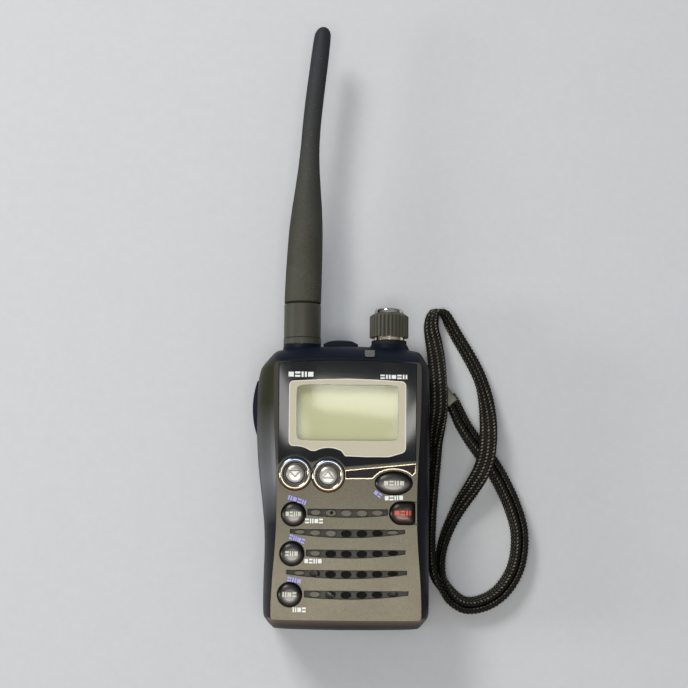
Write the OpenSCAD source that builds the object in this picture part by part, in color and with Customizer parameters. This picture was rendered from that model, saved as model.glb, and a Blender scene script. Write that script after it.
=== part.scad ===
// Compact two-way handheld radio lying on its back, with whip antenna, tuning dial,
// sliding battery pack and a braided wrist strap.
// Frame: +X to the strap side, +Y towards the antenna tip, +Z out of the display.
// The origin is the centre of the battery pack's flat back face.

/* [Body] */
// Width of the casing across its straight flanks
body_w = 47; // [46:0.5:48]
// Height of the casing from bottom edge to top edge
body_h = 81; // [80:0.5:82]
// Depth from the pack's back to the front panel
body_d = 28; // [27.5:0.5:28.5]
// How far the side-key ledge stands out of the left flank
ledge = 2.7; // [2:0.1:3]
// Thickness of the front wall
front_wall = 1.8; // [1.6:0.1:2]

/* [Keys] */
// Radius of the three round black keys
round_key_r = 3.4; // [3.2:0.05:3.45]
// Radius of the two metal arrow keys
arrow_key_r = 2.75; // [2.6:0.05:2.85]
// How far every front key travels
key_travel = 0.5; // [0.4:0.05:0.5]
// How far the crown of a key stands proud of the panel
key_rise = 0.8; // [0.5:0.1:1]

/* [Speaker grille] */
// Spacing from one grille slot to the next
slot_pitch = 5.68; // [5.5:0.01:5.7]
// Height of a grille slot at its middle
slot_h = 2.4; // [2:0.1:2.6]
// Spacing of the oval holes in a slot
hole_pitch = 4.35; // [4.2:0.05:4.4]

/* [Antenna and dial] */
// Distance of the antenna axis left of the centre line
antenna_x = 13.3; // [13:0.1:13.5]
// Radius of the antenna's thick foot
antenna_r = 5.35; // [5.2:0.05:5.4]
// Radius of the whip at its tip
whip_r = 2.5; // [2.3:0.1:2.7]
// Distance of the dial axis right of the centre line
dial_x = 11.9; // [11.5:0.1:12.2]
// Radius of the fluted dial grip
dial_r = 5.65; // [5.4:0.05:5.7]
// Number of flutes around the dial
dial_flutes = 30; // [24:2:36]

/* [Battery pack] */
// Height of the battery pack up to the chassis wall
pack_top = 24.3; // [24:0.1:24.4]
// Depth of the pack's visible side wall
pack_d = 8.8; // [8.5:0.1:8.8]

/* [Wrist strap] */
// Width of the braided band
band_w = 5.2; // [5:0.1:5.4]
// Thickness of the braided band
band_t = 1.6; // [1.4:0.1:1.7]
// Spacing of the two layers where the band runs doubled
layer_gap = 2; // [2:0.1:2.2]

/* [Hidden] */

eps = 0.01;
half_w = body_w / 2;
half_h = body_h / 2;
face_z = body_d;
inner_z = body_d - front_wall;
seam_z = 9;
axis_z = 15;

// Key centres on the front panel
down_at = [-14.6, 3.25];
up_at = [-5.28, 2.82];
call_at = [-14.88, -8.07];
memory_at = [-15.22, -19.07];
squelch_at = [-15.73, -30.4];
band_at = [13.16, 0.8];
power_at = [15.55, -7.55];
band_a = 5.2;
band_b = 3.25;
power_w = 7.1;
power_h = 6.4;
key_gap = 0.16;
// How far a key's retaining flange stands out under the panel
flange = 0.4;
ring_in = 3.25;
ring_out = 4.7;

// Height levels of the rear plate, boards and fittings inside the casing
plate_z = 10.3;
plate_top = 12.2;
main_z = 13.4;
logic_z = 21.9;
board_t = 0.8;
screw_at = [[-18, -34.6], [18, -34.6], [-18, 27.5], [18, 27.5]];
board_screw_at = [[-16, -20], [16, -20], [-16, 18], [16, 18]];
rail_x = 10;
speaker_at = [3.4, -20.6];
speaker_r = 12.3;
mic_at = [-4.25, -7.6];
jack_x = -2.1;
jack_r = 1.78;
post_at = [21.7, 33.3];

// ---------------------------------------------------------------- functions

// Points on an arc about c from angle a0 to a1
function arc(c, r, a0, a1, n) =
    [for (i = [0:n]) let (a = a0 + (a1 - a0) * i / n) [c[0] + r * cos(a), c[1] + r * sin(a)]];

// Points around an ellipse
function oval(c, a, b, n) = [for (i = [0:n - 1]) [c[0] + a * cos(360 * i / n), c[1] + b * sin(360 * i / n)]];

// One pass of corner cutting on a closed outline
function soften(p) = [
    for (i = [0:len(p) - 1], t = [0.25, 0.75]) p[i] * (1 - t) + p[(i + 1) % len(p)] * t
];

// Left-hand unit normal of a direction
function left(d) = [-d[1], d[0]] / norm([d[0], d[1]]);

// Moves every point of a counter-clockwise outline inwards
function inset(p, d) = [
    for (i = [0:len(p) - 1])
        let (a = p[(i + len(p) - 1) % len(p)], b = p[(i + 1) % len(p)]) p[i] + d * left(b - a)
];

// Rounded rectangle centred on c
function rounded(c, w, h, r, n = 6) = concat(
    arc(c + [w / 2 - r, h / 2 - r], r, 0, 90, n), arc(c + [r - w / 2, h / 2 - r], r, 90, 180, n),
    arc(c + [r - w / 2, r - h / 2], r, 180, 270, n), arc(c + [w / 2 - r, r - h / 2], r, 270, 360, n)
);

function mirrored(p) = concat(p, [for (i = [len(p) - 2:-1:1]) [-p[i][0], p[i][1]]]);

// Widest outline of the casing, right half from bottom to top
flank = [
    [0, -half_h], [14, -half_h + 0.15], [19.8, -half_h + 0.4], [20.8, -half_h + 0.8],
    [half_w - 0.6, -37.3], [half_w - 0.1, -36.2], [half_w, -33], [half_w, -27], [half_w - 0.1, -14],
    [half_w, -3], [half_w, 6], [half_w, 18], [half_w, 28], [half_w, 33.2], [half_w - 0.3, 34.6],
    [21, half_h - 2.3], [20, half_h - 1.4], [12.5, half_h - 0.5], [0, half_h]
];
// How far each left-hand station of the flank stands out for the side keys
bulge = [0, 0, 0, 0, 0, 0, 0, 0, -0.1, 0.26, 0.72, 0.95, 0.9, 0.6, 0.42, 0.1, 0, 0, 0];
// Outline of the flat front panel, stations matching the flank's
panel_side = [
    [0, -37.5], [13, -37.46], [19, -37.42], [20.3, -37.36], [20.88, -37], [21, -36.2], [21, -33],
    [20.75, -27], [19.75, -14], [19.65, -3], [20, 6], [20.7, 18], [20.9, 28], [20.9, 33], [20.8, 34],
    [20.3, 34.8], [19.4, 35.2], [12, 35.7], [0, 36]
];
left_flank = [for (i = [len(flank) - 2:-1:1]) [-flank[i][0] - ledge * bulge[i], flank[i][1]]];
wide = soften(soften(concat(flank, left_flank)));
back = soften(soften(mirrored(flank)));
panel = soften(soften(mirrored(panel_side)));

// Cross-section of the casing between the panel outline (0) and the widest outline (1)
function section(outer, g, z) = [for (i = [0:len(outer) - 1]) concat(panel[i] * (1 - g) + outer[i] * g, z)];

front_levels = [[seam_z, 0.95], [12.5, 1], [19, 1], [22, 0.9], [24.5, 0.66], [26.4, 0.37], [27.5, 0.13], [face_z, 0]];
back_levels = [[0, 0.35], [0.9, 0.72], [2.4, 0.93], [4.5, 1]];

// Outline of the display lens: arched top, and a lower edge that clears the key rings
lens = concat(
    arc([0, -161.8], 197.2, 84.35, 95.65, 12),
    arc(down_at, 5.3, 152, 50, 10), [[-10.5, 6.75], [-9.94, 6.6], [-9.35, 6.7]], arc(up_at, 5.3, 125, 28, 10),
    [[1, 5.45], [19.3, 7.1]]
);

// Face bar between ring and band key, its lower edge stepping over the band key
bar = concat(
    [[19.3, 3.75], [19.3, 6.35], [-0.45, 4.35], [-0.45, 1.8], [7.1, 1.9]],
    [for (a = [155:-12.5:30]) [band_at[0] + 5.95 * cos(a), band_at[1] + 3.85 * sin(a)]]
);

// Grille slots: left end, right end, both measured from the centre line
slot_top = -6.55;
hole_r = 1;
hole_half = 1.5;
slots = [[-11, 11.6], [-15.8, 16.4], [-11.3, 16.5], [-16.7, 17], [-11.7, 17.4]];
// First and last open hole of each slot, counted in hole pitches from the centre line
open_holes = [[1, 0], [0, 2], [-1, 3], [-2, 3], [-1, 3]];
slot_reach = [16, 16.3, 16.9, 17.2, 17.7];

function hundredth(v) = round(v * 100) / 100;

// Depth of the slot's curved lower edge at x, for a slot of half length r
function slot_sag(x, r) = 1.1 + (slot_h - 1.1) * (1 - pow(x / r, 2));

function slot_outline(i) = let (l = slots[i][0], r = slots[i][1], y = slot_top - slot_pitch * i)
    concat([[l, y], [r, y]], [for (k = [0:16]) let (x = r + (l - r) * k / 16) [x, y - slot_sag(x, slot_reach[i])]]);

// Wrist strap: stations [x, y, z of the band's middle, lean of its top edge to the right]
// where z 0 means that the band stands or lies on the ground
doubled = [
    [30.05, 27.6], [31.5, 25.2], [34, 19.8], [37, 15], [40.2, 10.8], [43.2, 6.6], [46.4, 0.8], [49, -5.2],
    [50.8, -12], [50.6, -19], [48.8, -24.8], [45, -30], [40, -33], [35, -33.6], [31.2, -31.4]
];
upward = [
    [28.3, -29.4, 0, -5], [26.4, -26.4, 0, 8], [25.3, -22.6, 0, 10], [25, -17, 0, 10], [25, -11, 0, 12],
    [25.3, -4, 0, 15], [25.7, 2.4, 0, 20], [26.1, 8.5, 0, 25], [26.2, 13.7, 0, 38], [26.5, 18.5, 4.8, 60],
    [26.85, 23.2, 7.1, 78], [26.8, 28, 7.7, 84], [26.5, 33, 7.4, 83], [26.2, 38, 5.6, 74], [25.6, 43, 3.6, 60],
    [24.8, 48.4, 0, 44], [25.5, 52, 0, 32], [27.2, 52.9, 0, 6], [28.9, 52, 0, -14]
];
downward = [
    [30.2, 49.8, 0, -22], [32.2, 46, 0, -26], [34.6, 42, 0, -28], [36.9, 38, 0, -30], [38.9, 34, 0, -30],
    [40.3, 30, 0, -34], [41.2, 25, 3.6, -48], [41.5, 19.5, 6, -66], [41.3, 14, 7.4, -78],
    [40.6, 9, 7.6, -80], [39.1, 4.8, 7.3, -76], [36.6, 0.4, 5.6, -60], [33.8, -4, 3.8, -44],
    [31.3, -8.6, 0, -30], [29.3, -13.2, 0, -24], [28, -18, 0, -18], [27.9, -22.6, 0, -10], [28.9, -26.4, 0, 2]
];
lean = 18;

// Height of the middle of a band that rests on the ground with lean t
function rest_height(t) = band_w / 2 * abs(cos(t)) + band_t / 2 * abs(sin(t)) + 0.05;

function along(p, i) = [for (k = [0, 1]) p[min(i + 1, len(p) - 1)][k] - p[max(i - 1, 0)][k]];

// One layer of the doubled stretch, side 1 outside and -1 inside
function layer(side) = [
    for (i = [0:len(doubled) - 1])
        let (q = doubled[i] + side * layer_gap / 2 * left(along(doubled, i)))
            [q[0], q[1], 0, -side * lean * min(i, 4) / 4]
];
function reversed(p) = [for (i = [len(p) - 1:-1:0]) p[i]];

band_route = concat(layer(1), upward, downward, reversed(layer(-1)));

// Ring of eight points round the band at station i
function band_ring(i) =
    let (
        s = band_route[i], d = along(band_route, i), n = left(d), t = s[3],
        w = [-n[0] * sin(t), -n[1] * sin(t), cos(t)], q = [n[0] * cos(t), n[1] * cos(t), sin(t)],
        m = [s[0], s[1], s[2] == 0 ? rest_height(t) : s[2]]
    )
    [for (k = [0:7])
        let (u = [1, 0.72, -0.72, -1, -1, -0.72, 0.72, 1][k], v = [0.5, 1, 1, 0.5, -0.5, -1, -1, -0.5][k])
            m + w * u * band_w / 2 + q * v * band_t / 2];

// Ferrule: its lower end and its direction up to the radio
ferrule_at = [31.05, 25.4];
ferrule_to = [-0.62, 0.785];
ferrule_len = 7.8;

// Lanyard cord from the ferrule round the post and back
lanyard_r = 0.55;
lanyard_z = 4.3;
lanyard_route = [
    [26.2, 31.4], [24.6, 31.9], [23, 31.9], [21.4, 31.75], [20.3, 32.5], [20.05, 33.5], [20.5, 34.5],
    [21.5, 34.95], [22.9, 34.5], [24.6, 33.6], [26, 32.7], [27, 32]
];

// Whip antenna: [distance along Y, sideways offset of its centre, radius]
whip_profile = [
    [53.1, 0, antenna_r - 0.5], [53.5, 0.02, antenna_r - 0.05], [60, 0.2, antenna_r - 0.05],
    [68, 0.45, antenna_r - 0.2], [75, 0.7, antenna_r - 0.45], [79, 0.86, antenna_r - 0.75],
    [82, 0.98, 4.35], [85, 1.08, 4], [89, 1.22, 3.6], [93, 1.36, 3.2], [97, 1.52, 2.92], [101, 1.72, 2.75],
    [106, 2.05, 2.7], [112, 2.6, 2.7], [118, 3.25, 2.68], [124, 3.95, 2.65], [129, 4.5, whip_r + 0.1],
    [132.5, 4.9, whip_r], [134.4, 5.1, whip_r * 0.9], [135.6, 5.2, whip_r * 0.62], [136.2, 5.25, whip_r * 0.25]
];
whip_sides = 28;

// Helical radiator wound inside the antenna's foot
coil_turns = 9;
coil_r = 2.5;
coil_wire = 0.35;
coil_start = 54.5;
coil_len = 22;

// ------------------------------------------------------------ building modules

// Closed solid through a stack of rings with equal point counts
module loft(rings) {
    n = len(rings[0]);
    m = len(rings);
    sides = [for (j = [0:m - 2], i = [0:n - 1], h = [0, 1])
        let (a = j * n + i, b = j * n + (i + 1) % n, c = b + n, d = a + n) h == 0 ? [a, b, c] : [a, c, d]];
    polyhedron(
        points = [for (r = rings, p = r) p],
        faces = concat([for (f = sides) reversed(f)],
            [[for (i = [0:n - 1]) i]], [[for (i = [n - 1:-1:0]) (m - 1) * n + i]]),
        convexity = 8
    );
}

module slab(outline, z0, z1) translate([0, 0, z0]) linear_extrude(z1 - z0) polygon(outline);

module block(lo, hi) translate(lo) cube(hi - lo);

// Box with chamfered corners, seen from the front
module tray(x, y0, y1, z0, z1, c) slab(
    [[-x + c, y0], [x - c, y0], [x, y0 + c], [x, y1 - c], [x - c, y1], [-x + c, y1], [-x, y1 - c], [-x, y0 + c]],
    z0, z1);

// Round bar from y0 to y1 whose axis runs along Y at height axis_z
module bar_y(x, r, y0, y1) translate([x, y0, axis_z]) rotate([-90, 0, 0]) cylinder(h = y1 - y0, r = r, $fn = 64);

module tube_y(x, r_out, r_in, y0, y1) difference() {
    bar_y(x, r_out, y0, y1);
    bar_y(x, r_in, y0 - 1, y1 + 1);
}

module post(at, r, z0, z1) translate([at[0], at[1], z0]) cylinder(h = z1 - z0, r = r, $fn = 48);

// Solid of revolution about the Y direction at x, profile given as [radius, y]
module turned_y(x, profile) translate([x, 0, axis_z]) rotate([-90, 0, 0]) rotate_extrude($fn = 72) polygon(profile);

// Casing envelopes
module front_envelope() loft([for (l = front_levels) section(wide, l[1], l[0])]);
module back_envelope(top) loft([for (l = concat(back_levels, [[top, 1]])) section(back, l[1], l[0])]);

function power_outline(grow) = let (w = power_w + 2 * grow, h = power_h + 2 * grow, r = h / 2) concat(
    arc(power_at + [w / 2 - 1.1, h / 2 - 1.1], 1.1, 0, 90, 6),
    arc(power_at + [r - w / 2, 0], r, 90, 270, 18),
    arc(power_at + [w / 2 - 1.1, 1.1 - h / 2], 1.1, 270, 360, 6)
);

// ---------------------------------------------------------------- casing

module key_openings() {
    for (at = [call_at, memory_at, squelch_at]) post(at, round_key_r + key_gap, inner_z - 1, face_z + 1);
    for (at = [down_at, up_at]) {
        post(at, ring_in - 0.1, inner_z - 1, face_z + 1);
        post(at, ring_out + 0.1, face_z - 0.8, face_z + 1);
    }
    slab(oval(band_at, band_a + key_gap, band_b + key_gap, 60), inner_z - 1, face_z + 1);
    slab(power_outline(key_gap), inner_z - 1, face_z + 1);
    block([power_at[0], power_at[1] + power_h / 2 - 0.25, face_z - 0.3], [22, power_at[1] + power_h / 2, face_z + 1]);
    block([power_at[0], power_at[1] - power_h / 2, face_z - 0.3], [22, power_at[1] - power_h / 2 + 0.25, face_z + 1]);
}

module grille_openings() {
    for (i = [0:4]) {
        y = slot_top - slot_pitch * i;
        slab(slot_outline(i), face_z - 0.9, face_z + 1);
        for (k = [-3:3]) {
            x = k * hole_pitch;
            if (x > slots[i][0] + 1 && x < slots[i][1] - 1) {
                r = min(hole_r, hundredth(slot_sag(x, slot_reach[i]) / 2 - 0.125));
                is_open = k >= open_holes[i][0] && k <= open_holes[i][1];
                at = [x, hundredth(y - slot_sag(x, slot_reach[i]) / 2)];
                slab(oval(at, hole_half, r, 28), is_open ? inner_z - 1 : face_z - 1.3, face_z);
            }
        }
    }
    post(mic_at, 0.5, inner_z - 1, face_z);
}

module front_case() color("#4a4741") {
    difference() {
        union() {
            difference() {
                union() {
                    front_envelope();
                    turned_y(-antenna_x, [[0, 36], [5.6, 36], [5.6, 39.8], [5.35, 41], [0, 41]]);
                    turned_y(dial_x, [[0, 36], [6.1, 36], [6.1, 39.4], [5.3, 41.2], [0, 41.2]]);
                }
                tray(21.5, -38.6, 38.6, seam_z - 1, 12.9, 3);
                tray(20.3, -37.6, 38, 12.8, 21, 3);
                tray(18.8, -36.2, 34.6, 20.9, inner_z, 2);
                block([-24.4, 12.5, 10.5], [-20, 32.5, 19.5]);
                block([-19.9, -34.6, 24.5], [-18, -3.6, inner_z]);
                block([18, -11.7, 24.5], [19.9, 5, inner_z]);
                block([-21.5, -42, seam_z - 1], [21.5, -35, 12.4]);
            }
            for (at = screw_at) post(at, 2.4, 12.9, 21.6);
        }
        for (at = screw_at) post(at, 0.95, 12, 21);
        slab(inset(lens, -0.12), face_z - 1.1, face_z + 1);
        slab(rounded([0, 20.5], 30, 17, 1.5), inner_z - 1, face_z);
        key_openings();
        slab(inset(bar, -0.1), face_z - 0.7, face_z + 1);
        grille_openings();
        block([4.65, 36.35, 19], [7.7, 38.75, face_z]);
        bar_y(-antenna_x, 3.2, 30, 50);
        bar_y(dial_x, 3.1, 30, 50);
        bar_y(jack_x, 3.1, 30, 50);
        block([-7.35, 39.3, 9.6], [3.15, 44, 18.9]);
        block([-30, 14.4, 11.2], [-24, 30.6, 18.4]);
    }
}

module rear_case() color("#23241f") {
    difference() {
        union() {
            intersection() {
                back_envelope(seam_z - 0.1);
                block([-30, pack_top + 0.2, 0], [30, 45, seam_z]);
            }
            tray(21.3, -38.4, 38.4, plate_z, plate_top, 3);
            block([-21.2, pack_top + 0.2, 1], [21.2, 35.4, plate_top]);
        }
        difference() {
            block([-19, 26.3, 1.8], [19, 37.3, plate_top + 1]);
            for (at = [screw_at[2], screw_at[3]]) post(at, 2.9, 0, plate_top);
            block([18.2, 29.2, 0], [22, 38, seam_z - 0.1]);
        }
        block([-17.6, 30, 9.5], [17.6, 38, plate_top + 1]);
        for (x = [-antenna_x, jack_x, dial_x]) bar_y(x, 3.3, 30, 45);
        block([19.2, 30.9, 1.7], [25, 35.7, 7.4]);
        post(post_at, 0.8, 0.9, 8.2);
        for (at = [screw_at[0], screw_at[1]]) {
            post(at, 2.1, 9, 11.5);
            post(at, 1.1, 9, 14);
        }
        for (at = [screw_at[2], screw_at[3]]) {
            post(at, 2.1, -1, 8);
            post(at, 1.1, 0, 14);
        }
        for (at = board_screw_at) post(at, 0.75, 9, 14);
        for (s = [-1, 1]) {
            block([s * rail_x - 1.25, -40, 9], [s * rail_x + 1.25, 15, 11.1]);
            block([s * rail_x - 2.15, -40, 11.08], [s * rail_x + 2.15, 15, 13]);
        }
        for (x = [-4, 0, 4]) block([x - 0.9, 24, 3.3], [x + 0.9, 27, 5.7]);
    }
}

module case_gasket() color("#1b1b1b") difference() {
    tray(21.2, -38.3, 38.4, plate_top + 0.05, 12.82, 3);
    tray(20.4, -37.5, 37.6, plate_top - 1, 14, 3);
    for (x = [-antenna_x, jack_x, dial_x]) bar_y(x, 3.3, 30, 45);
}

module display_lens() color("#101216", 0.6) slab(lens, face_z - 1.05, face_z + 0.05);

module lcd_panel() color("#b9bd93") {
    slab(rounded([0, 20.5], 31, 18.6, 0.6), 24.2, 25.2);
    slab(rounded([0, 20.5], 30.2, 17.4, 0.4), 25.2, 25.6);
}

module lcd_holder() color("#d9d6c8") difference() {
    slab(rounded([0, 20.5], 33.4, 21.4, 1), logic_z + board_t + 0.05, inner_z - 0.05);
    slab(rounded([0, 20.5], 31.2, 18.8, 0.6), 24.1, 30);
    slab(rounded([0, 20.5], 28, 15.6, 0.6), 20, 30);
}

module trim_ring() color("silver") difference() {
    union() {
        for (at = [down_at, up_at]) translate([at[0], at[1], face_z - 0.75]) rotate_extrude($fn = 96)
            polygon(concat([[ring_in, 0]], arc([3.97, 0.72], 0.72, 165, 10, 10), [[ring_out, 0.6], [ring_out, 0]]));
        block([-10.3, 2.1, face_z - 0.75], [-9.6, 4, face_z + 0.1]);
    }
    for (at = [down_at, up_at]) post(at, ring_in, face_z - 2, face_z + 2);
}

module trim_strip() color("silver") difference() {
    slab(bar, face_z - 0.65, face_z + 0.2);
    slab(inset(bar, 0.27), face_z - 0.35, face_z + 1);
}

module trim_inlay() color("#0c0c12") slab(inset(bar, 0.3), face_z - 0.33, face_z + 0.08);

module status_light_pipe() color("#b9b7a8") translate([4.75, 0, 0]) rotate([90, 0, 90]) linear_extrude(2.85)
    polygon([[36.45, 20], [38.65, 20], [38.65, 25.2], [37.6, 26.75], [36.45, 27.85]]);

module speaker() color("#3a3a3a") translate([speaker_at[0], speaker_at[1], 0]) {
    difference() {
        translate([0, 0, 21.2]) cylinder(h = 4.4, r = speaker_r, $fn = 96);
        translate([0, 0, 23.6]) cylinder(h = 3, r1 = 4, r2 = speaker_r + 0.6, $fn = 96);
    }
    translate([0, 0, 19]) cylinder(h = 2.21, r = 7.5, $fn = 64);
    translate([0, 0, 23.5]) intersection() {
        cylinder(h = 1.4, r = 4.2, $fn = 64);
        translate([0, 0, -4.6]) sphere(r = 6, $fn = 64);
    }
}

module speaker_felt() color("#202020") post(speaker_at, 11.9, 25.7, inner_z - 0.05);

module microphone() color("#b8b8b0") post(mic_at, 2, 23.6, 25.4);

module microphone_boot() color("#151515") difference() {
    post(mic_at, 2.55, 23, inner_z - 0.05);
    post(mic_at, 2.05, 23.5, 25.45);
    post(mic_at, 0.5, 22, 27);
}

module logic_board() color("#2f6b3c") difference() {
    tray(18.3, -35.8, 34.2, logic_z, logic_z + board_t, 2);
    post(speaker_at, speaker_r + 0.4, 20, 24);
    for (at = screw_at) post(at, 2.6, 20, 24);
}

module main_board() color("#2f6b3c") difference() {
    tray(19.3, -36.5, 28.6, main_z, main_z + board_t, 2);
    for (at = screw_at) post(at, 2.6, 12, 16);
    for (at = board_screw_at) post(at, 0.75, 12, 16);
    block([jack_x - 3, 24, 12], [jack_x + 3, 29, 16]);
}

module board_connector() color("#e8e2cf") {
    block([-7, 1.6, main_z + board_t], [7, 5.4, 17.9]);
    block([-6, 2.3, 17.9], [6, 4.7, logic_z]);
}

module shield_cans() color("#a9abad") {
    block([-13, -33, main_z + board_t], [13, -13, 18]);
    block([-13, 8, main_z + board_t], [13, 23, 17.6]);
}

module dome_switches() color("#c9c6b8")
    for (at = [down_at, up_at, call_at, memory_at, squelch_at, band_at, power_at])
        translate([at[0], at[1], logic_z + board_t]) rotate_extrude($fn = 48)
            polygon([[0, 0], [2.1, 0], [2.1, 0.12], [1.2, 0.38], [0, 0.42]]);

module keypad_membrane() color("#8f8f88") difference() {
    union() {
        block([-18.2, -35.4, 23.5], [-11.1, -4.4, 24.25]);
        block([-18.2, -4.5, 23.5], [18.2, 8.2, 24.25]);
        block([11.6, -11.7, 23.5], [18.2, -4.4, 24.25]);
        for (at = [[-12, -2.5], [2, 6.5], [9.5, -3.4], [-12, -14], [-12, -25]])
            post(at, 0.6, logic_z + board_t + 0.02, 23.6);
    }
    post(screw_at[0], 2.6, 20, 26);
    post(speaker_at, speaker_r + 0.3, 20, 26);
}

// ------------------------------------------------------------ fittings on top

module antenna_jack() color("#c8a450") difference() {
    union() {
        bar_y(-antenna_x, 4.2, 33, 37.5);
        bar_y(-antenna_x, 3.1, 37.4, 46.6);
        bar_y(-antenna_x, 0.5, 30.5, 33);
    }
    bar_y(-antenna_x, 0.62, 42, 47);
}

module antenna_jack_nut() color("#b9b9b0") tube_y(-antenna_x, 4.55, 3.15, 41.05, 42.1);

module encoder_body() color("#55565a") difference() {
    union() {
        block([dial_x - 5.2, 31, 10.8], [dial_x + 5.2, 37.5, 19.2]);
        bar_y(dial_x, 3, 37.4, 42.3);
    }
    bar_y(dial_x, 2.06, 31.9, 43);
}

module encoder_nut() color("#b9b9b0") tube_y(dial_x, 4.3, 3.05, 41.25, 42.2);

module dial_seal() color("#14151a") tube_y(dial_x, 5.1, 4.35, 41.25, 42.4);

module headset_jack() color("#1c1c1c") difference() {
    union() {
        bar_y(jack_x, 2.6, 24.4, 30.5);
        block([jack_x - 3.9, 30.4, 11.1], [jack_x + 3.9, 37.5, 18.9]);
        bar_y(jack_x, 3, 37.4, 39.25);
    }
    bar_y(jack_x, jack_r, 25, 41);
}

module side_switch_board() color("#2f6b3c") {
    block([-21.2, 13.5, 13.1], [-20.6, 31.5, 18.9]);
    block([-22, 20.6, 13.4], [-21.19, 24.4, 17.2]);
}

module screw(at, z_head, z_end, r_head, r) difference() {
    union() {
        post(at, r_head, z_head, z_head + 1.1);
        post(at, r, z_head + 1, z_end);
    }
    for (a = [0, 90]) translate([at[0], at[1], z_head - 0.01]) rotate(a) block([-1, -0.2, 0], [1, 0.2, 0.6]);
}

module case_screws() color("#8d8f91") {
    for (i = [0, 1]) screw(screw_at[i], 10.4, 20, 2, 0.92);
    for (i = [2, 3]) screw(screw_at[i], 6.9, 20, 2, 0.92);
}

module board_screws() color("#8d8f91") for (at = board_screw_at) {
    post(at, 1.4, main_z + board_t + 0.01, 15);
    post(at, 0.72, 11, main_z + board_t + 0.02);
}

module battery_terminals() color("#d3b15c") for (x = [-4, 0, 4])
    block([x - 0.8, pack_top + 0.17, 3.4], [x + 0.8, 28.5, 5.6]);

module strap_post() color("#9a9c9e") post(post_at, 0.8, 0.9, 8.2);

// ---------------------------------------------------------------- dial

function flute(i) = [0, 0.3, 0.38, 0.3, 0][i];

module dial_grip() color("#4b4a40") difference() {
    intersection() {
        translate([dial_x, 43.45, axis_z]) rotate([-90, 0, 0]) linear_extrude(8) polygon([
            for (i = [0:dial_flutes - 1], k = [0:4])
                let (a = 360 / dial_flutes * (i + k * 0.14), r = dial_r - flute(k)) [r * cos(a), r * sin(a)]
        ]);
        turned_y(dial_x, [[0, 43], [dial_r + 1, 43], [dial_r + 1, 48.9], [4.3, 50.5], [0, 50.5]]);
    }
    bar_y(dial_x, 2.02, 43, 49.5);
}

module dial_cap() color("silver") turned_y(dial_x, concat([[0, 50.52], [4.2, 50.52]],
    arc([3.5, 51.15], 0.7, 0, 90, 6), [[3.2, 51.75], [2.9, 51.5], [0, 51.5]]));

module dial_ring() color("silver") tube_y(dial_x, 4.5, 2.02, 42.5, 43.4);

module dial_shaft() color("#c4c4c0") bar_y(dial_x, 2, 32, 49.4);

// ---------------------------------------------------------------- keys

// Round domed key with a retaining flange under the panel
module round_key(at, r, crown) translate([at[0], at[1], 0]) rotate_extrude($fn = 72) polygon(concat(
    [[0, 25], [1, 25], [1, 25.2], [r + flange, 25.2], [r + flange, inner_z - 0.1], [r, inner_z - 0.1]],
    [for (k = [0:8]) let (a = 90 * k / 8) [r * (0.3 + 0.7 * cos(a)), face_z - 0.4 + crown * sin(a)]],
    [[0, face_z - 0.4 + crown * 1.06]]
));

module down_key() color("#c9c9c6") round_key(down_at, arrow_key_r, 0.75);
module up_key() color("#c9c9c6") round_key(up_at, arrow_key_r, 0.75);
module call_key() color("#1d1b1a") round_key(call_at, round_key_r, key_rise + 0.4);
module memory_key() color("#1d1b1a") round_key(memory_at, round_key_r, key_rise + 0.4);
module squelch_key() color("#1d1b1a") round_key(squelch_at, round_key_r, key_rise + 0.4);

// Crown of a key that isn't round: rings of the outline drawn in towards the middle
module crown(outline, at, rise) loft([
    for (k = [0:5]) let (a = 15 * k, s = 0.25 + 0.75 * cos(a))
        [for (p = outline) [at[0] + (p[0] - at[0]) * s, at[1] + (p[1] - at[1]) * s, face_z - 0.4 + rise * sin(a)]]
]);

module shaped_key(outline, skirt, at) {
    crown(outline, at, key_rise + 0.4);
    slab(outline, 25.2, face_z - 0.4);
    slab(skirt, 25.2, inner_z - 0.1);
    post(at, 1, 25, 25.3);
}

module band_key() color("#1d1b1a") shaped_key(
    oval(band_at, band_a, band_b, 60), oval(band_at, band_a + flange, band_b + flange, 60), band_at);

module power_key() color("#2a1a18") shaped_key(power_outline(0), power_outline(flange), power_at);

module ptt_button() color("#2c2d33") {
    slab(concat(arc([-2.65, 22.5], 24.65, 161.3, 198.7, 16), [[-24.1, 14.6], [-24.1, 30.4]]), 12.3, 17.3);
    slab(concat(arc([-2.15, 22.5], 24.65, 161.3, 198.7, 16), [[-24.1, 14.6], [-24.1, 30.4]]), 11.5, 18.1);
    block([-24.2, 13.3, 10.8], [-23.5, 31.7, 19.2]);
    block([-23.6, 21.6, 14], [-23, 23.4, 16]);
}

// ---------------------------------------------------------------- antenna

module antenna_seal() color("#34342f") tube_y(-antenna_x, antenna_r + 0.1, 4.65, 41.1, 42.85);

module antenna_collar() color("#34342f") difference() {
    turned_y(-antenna_x, [[0, 42.95], [antenna_r - 0.15, 42.95], [antenna_r, 43.1], [antenna_r, 52.7],
        [antenna_r - 0.25, 52.95], [0, 52.95]]);
    bar_y(-antenna_x, 4.42, 42, 51);
}

module antenna_plug() color("#c8a450") {
    tube_y(-antenna_x, 4.4, 3.18, 43, 50.9);
    bar_y(-antenna_x, 3.3, 47, 50.9);
    bar_y(-antenna_x, 0.45, 43.2, 47.5);
}

module antenna_sheath() color("#2b2c2a") difference() {
    loft([for (w = whip_profile) [for (k = [whip_sides - 1:-1:0]) let (a = 360 * k / whip_sides)
        [-antenna_x + w[1] + w[2] * cos(a), w[0], axis_z + w[2] * sin(a)]]]);
    bar_y(-antenna_x + 0.4, 3, 53.6, 78);
}

function coil_frame(t) = let (a = 360 * coil_turns * t) [cos(a), sin(a)];

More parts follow.
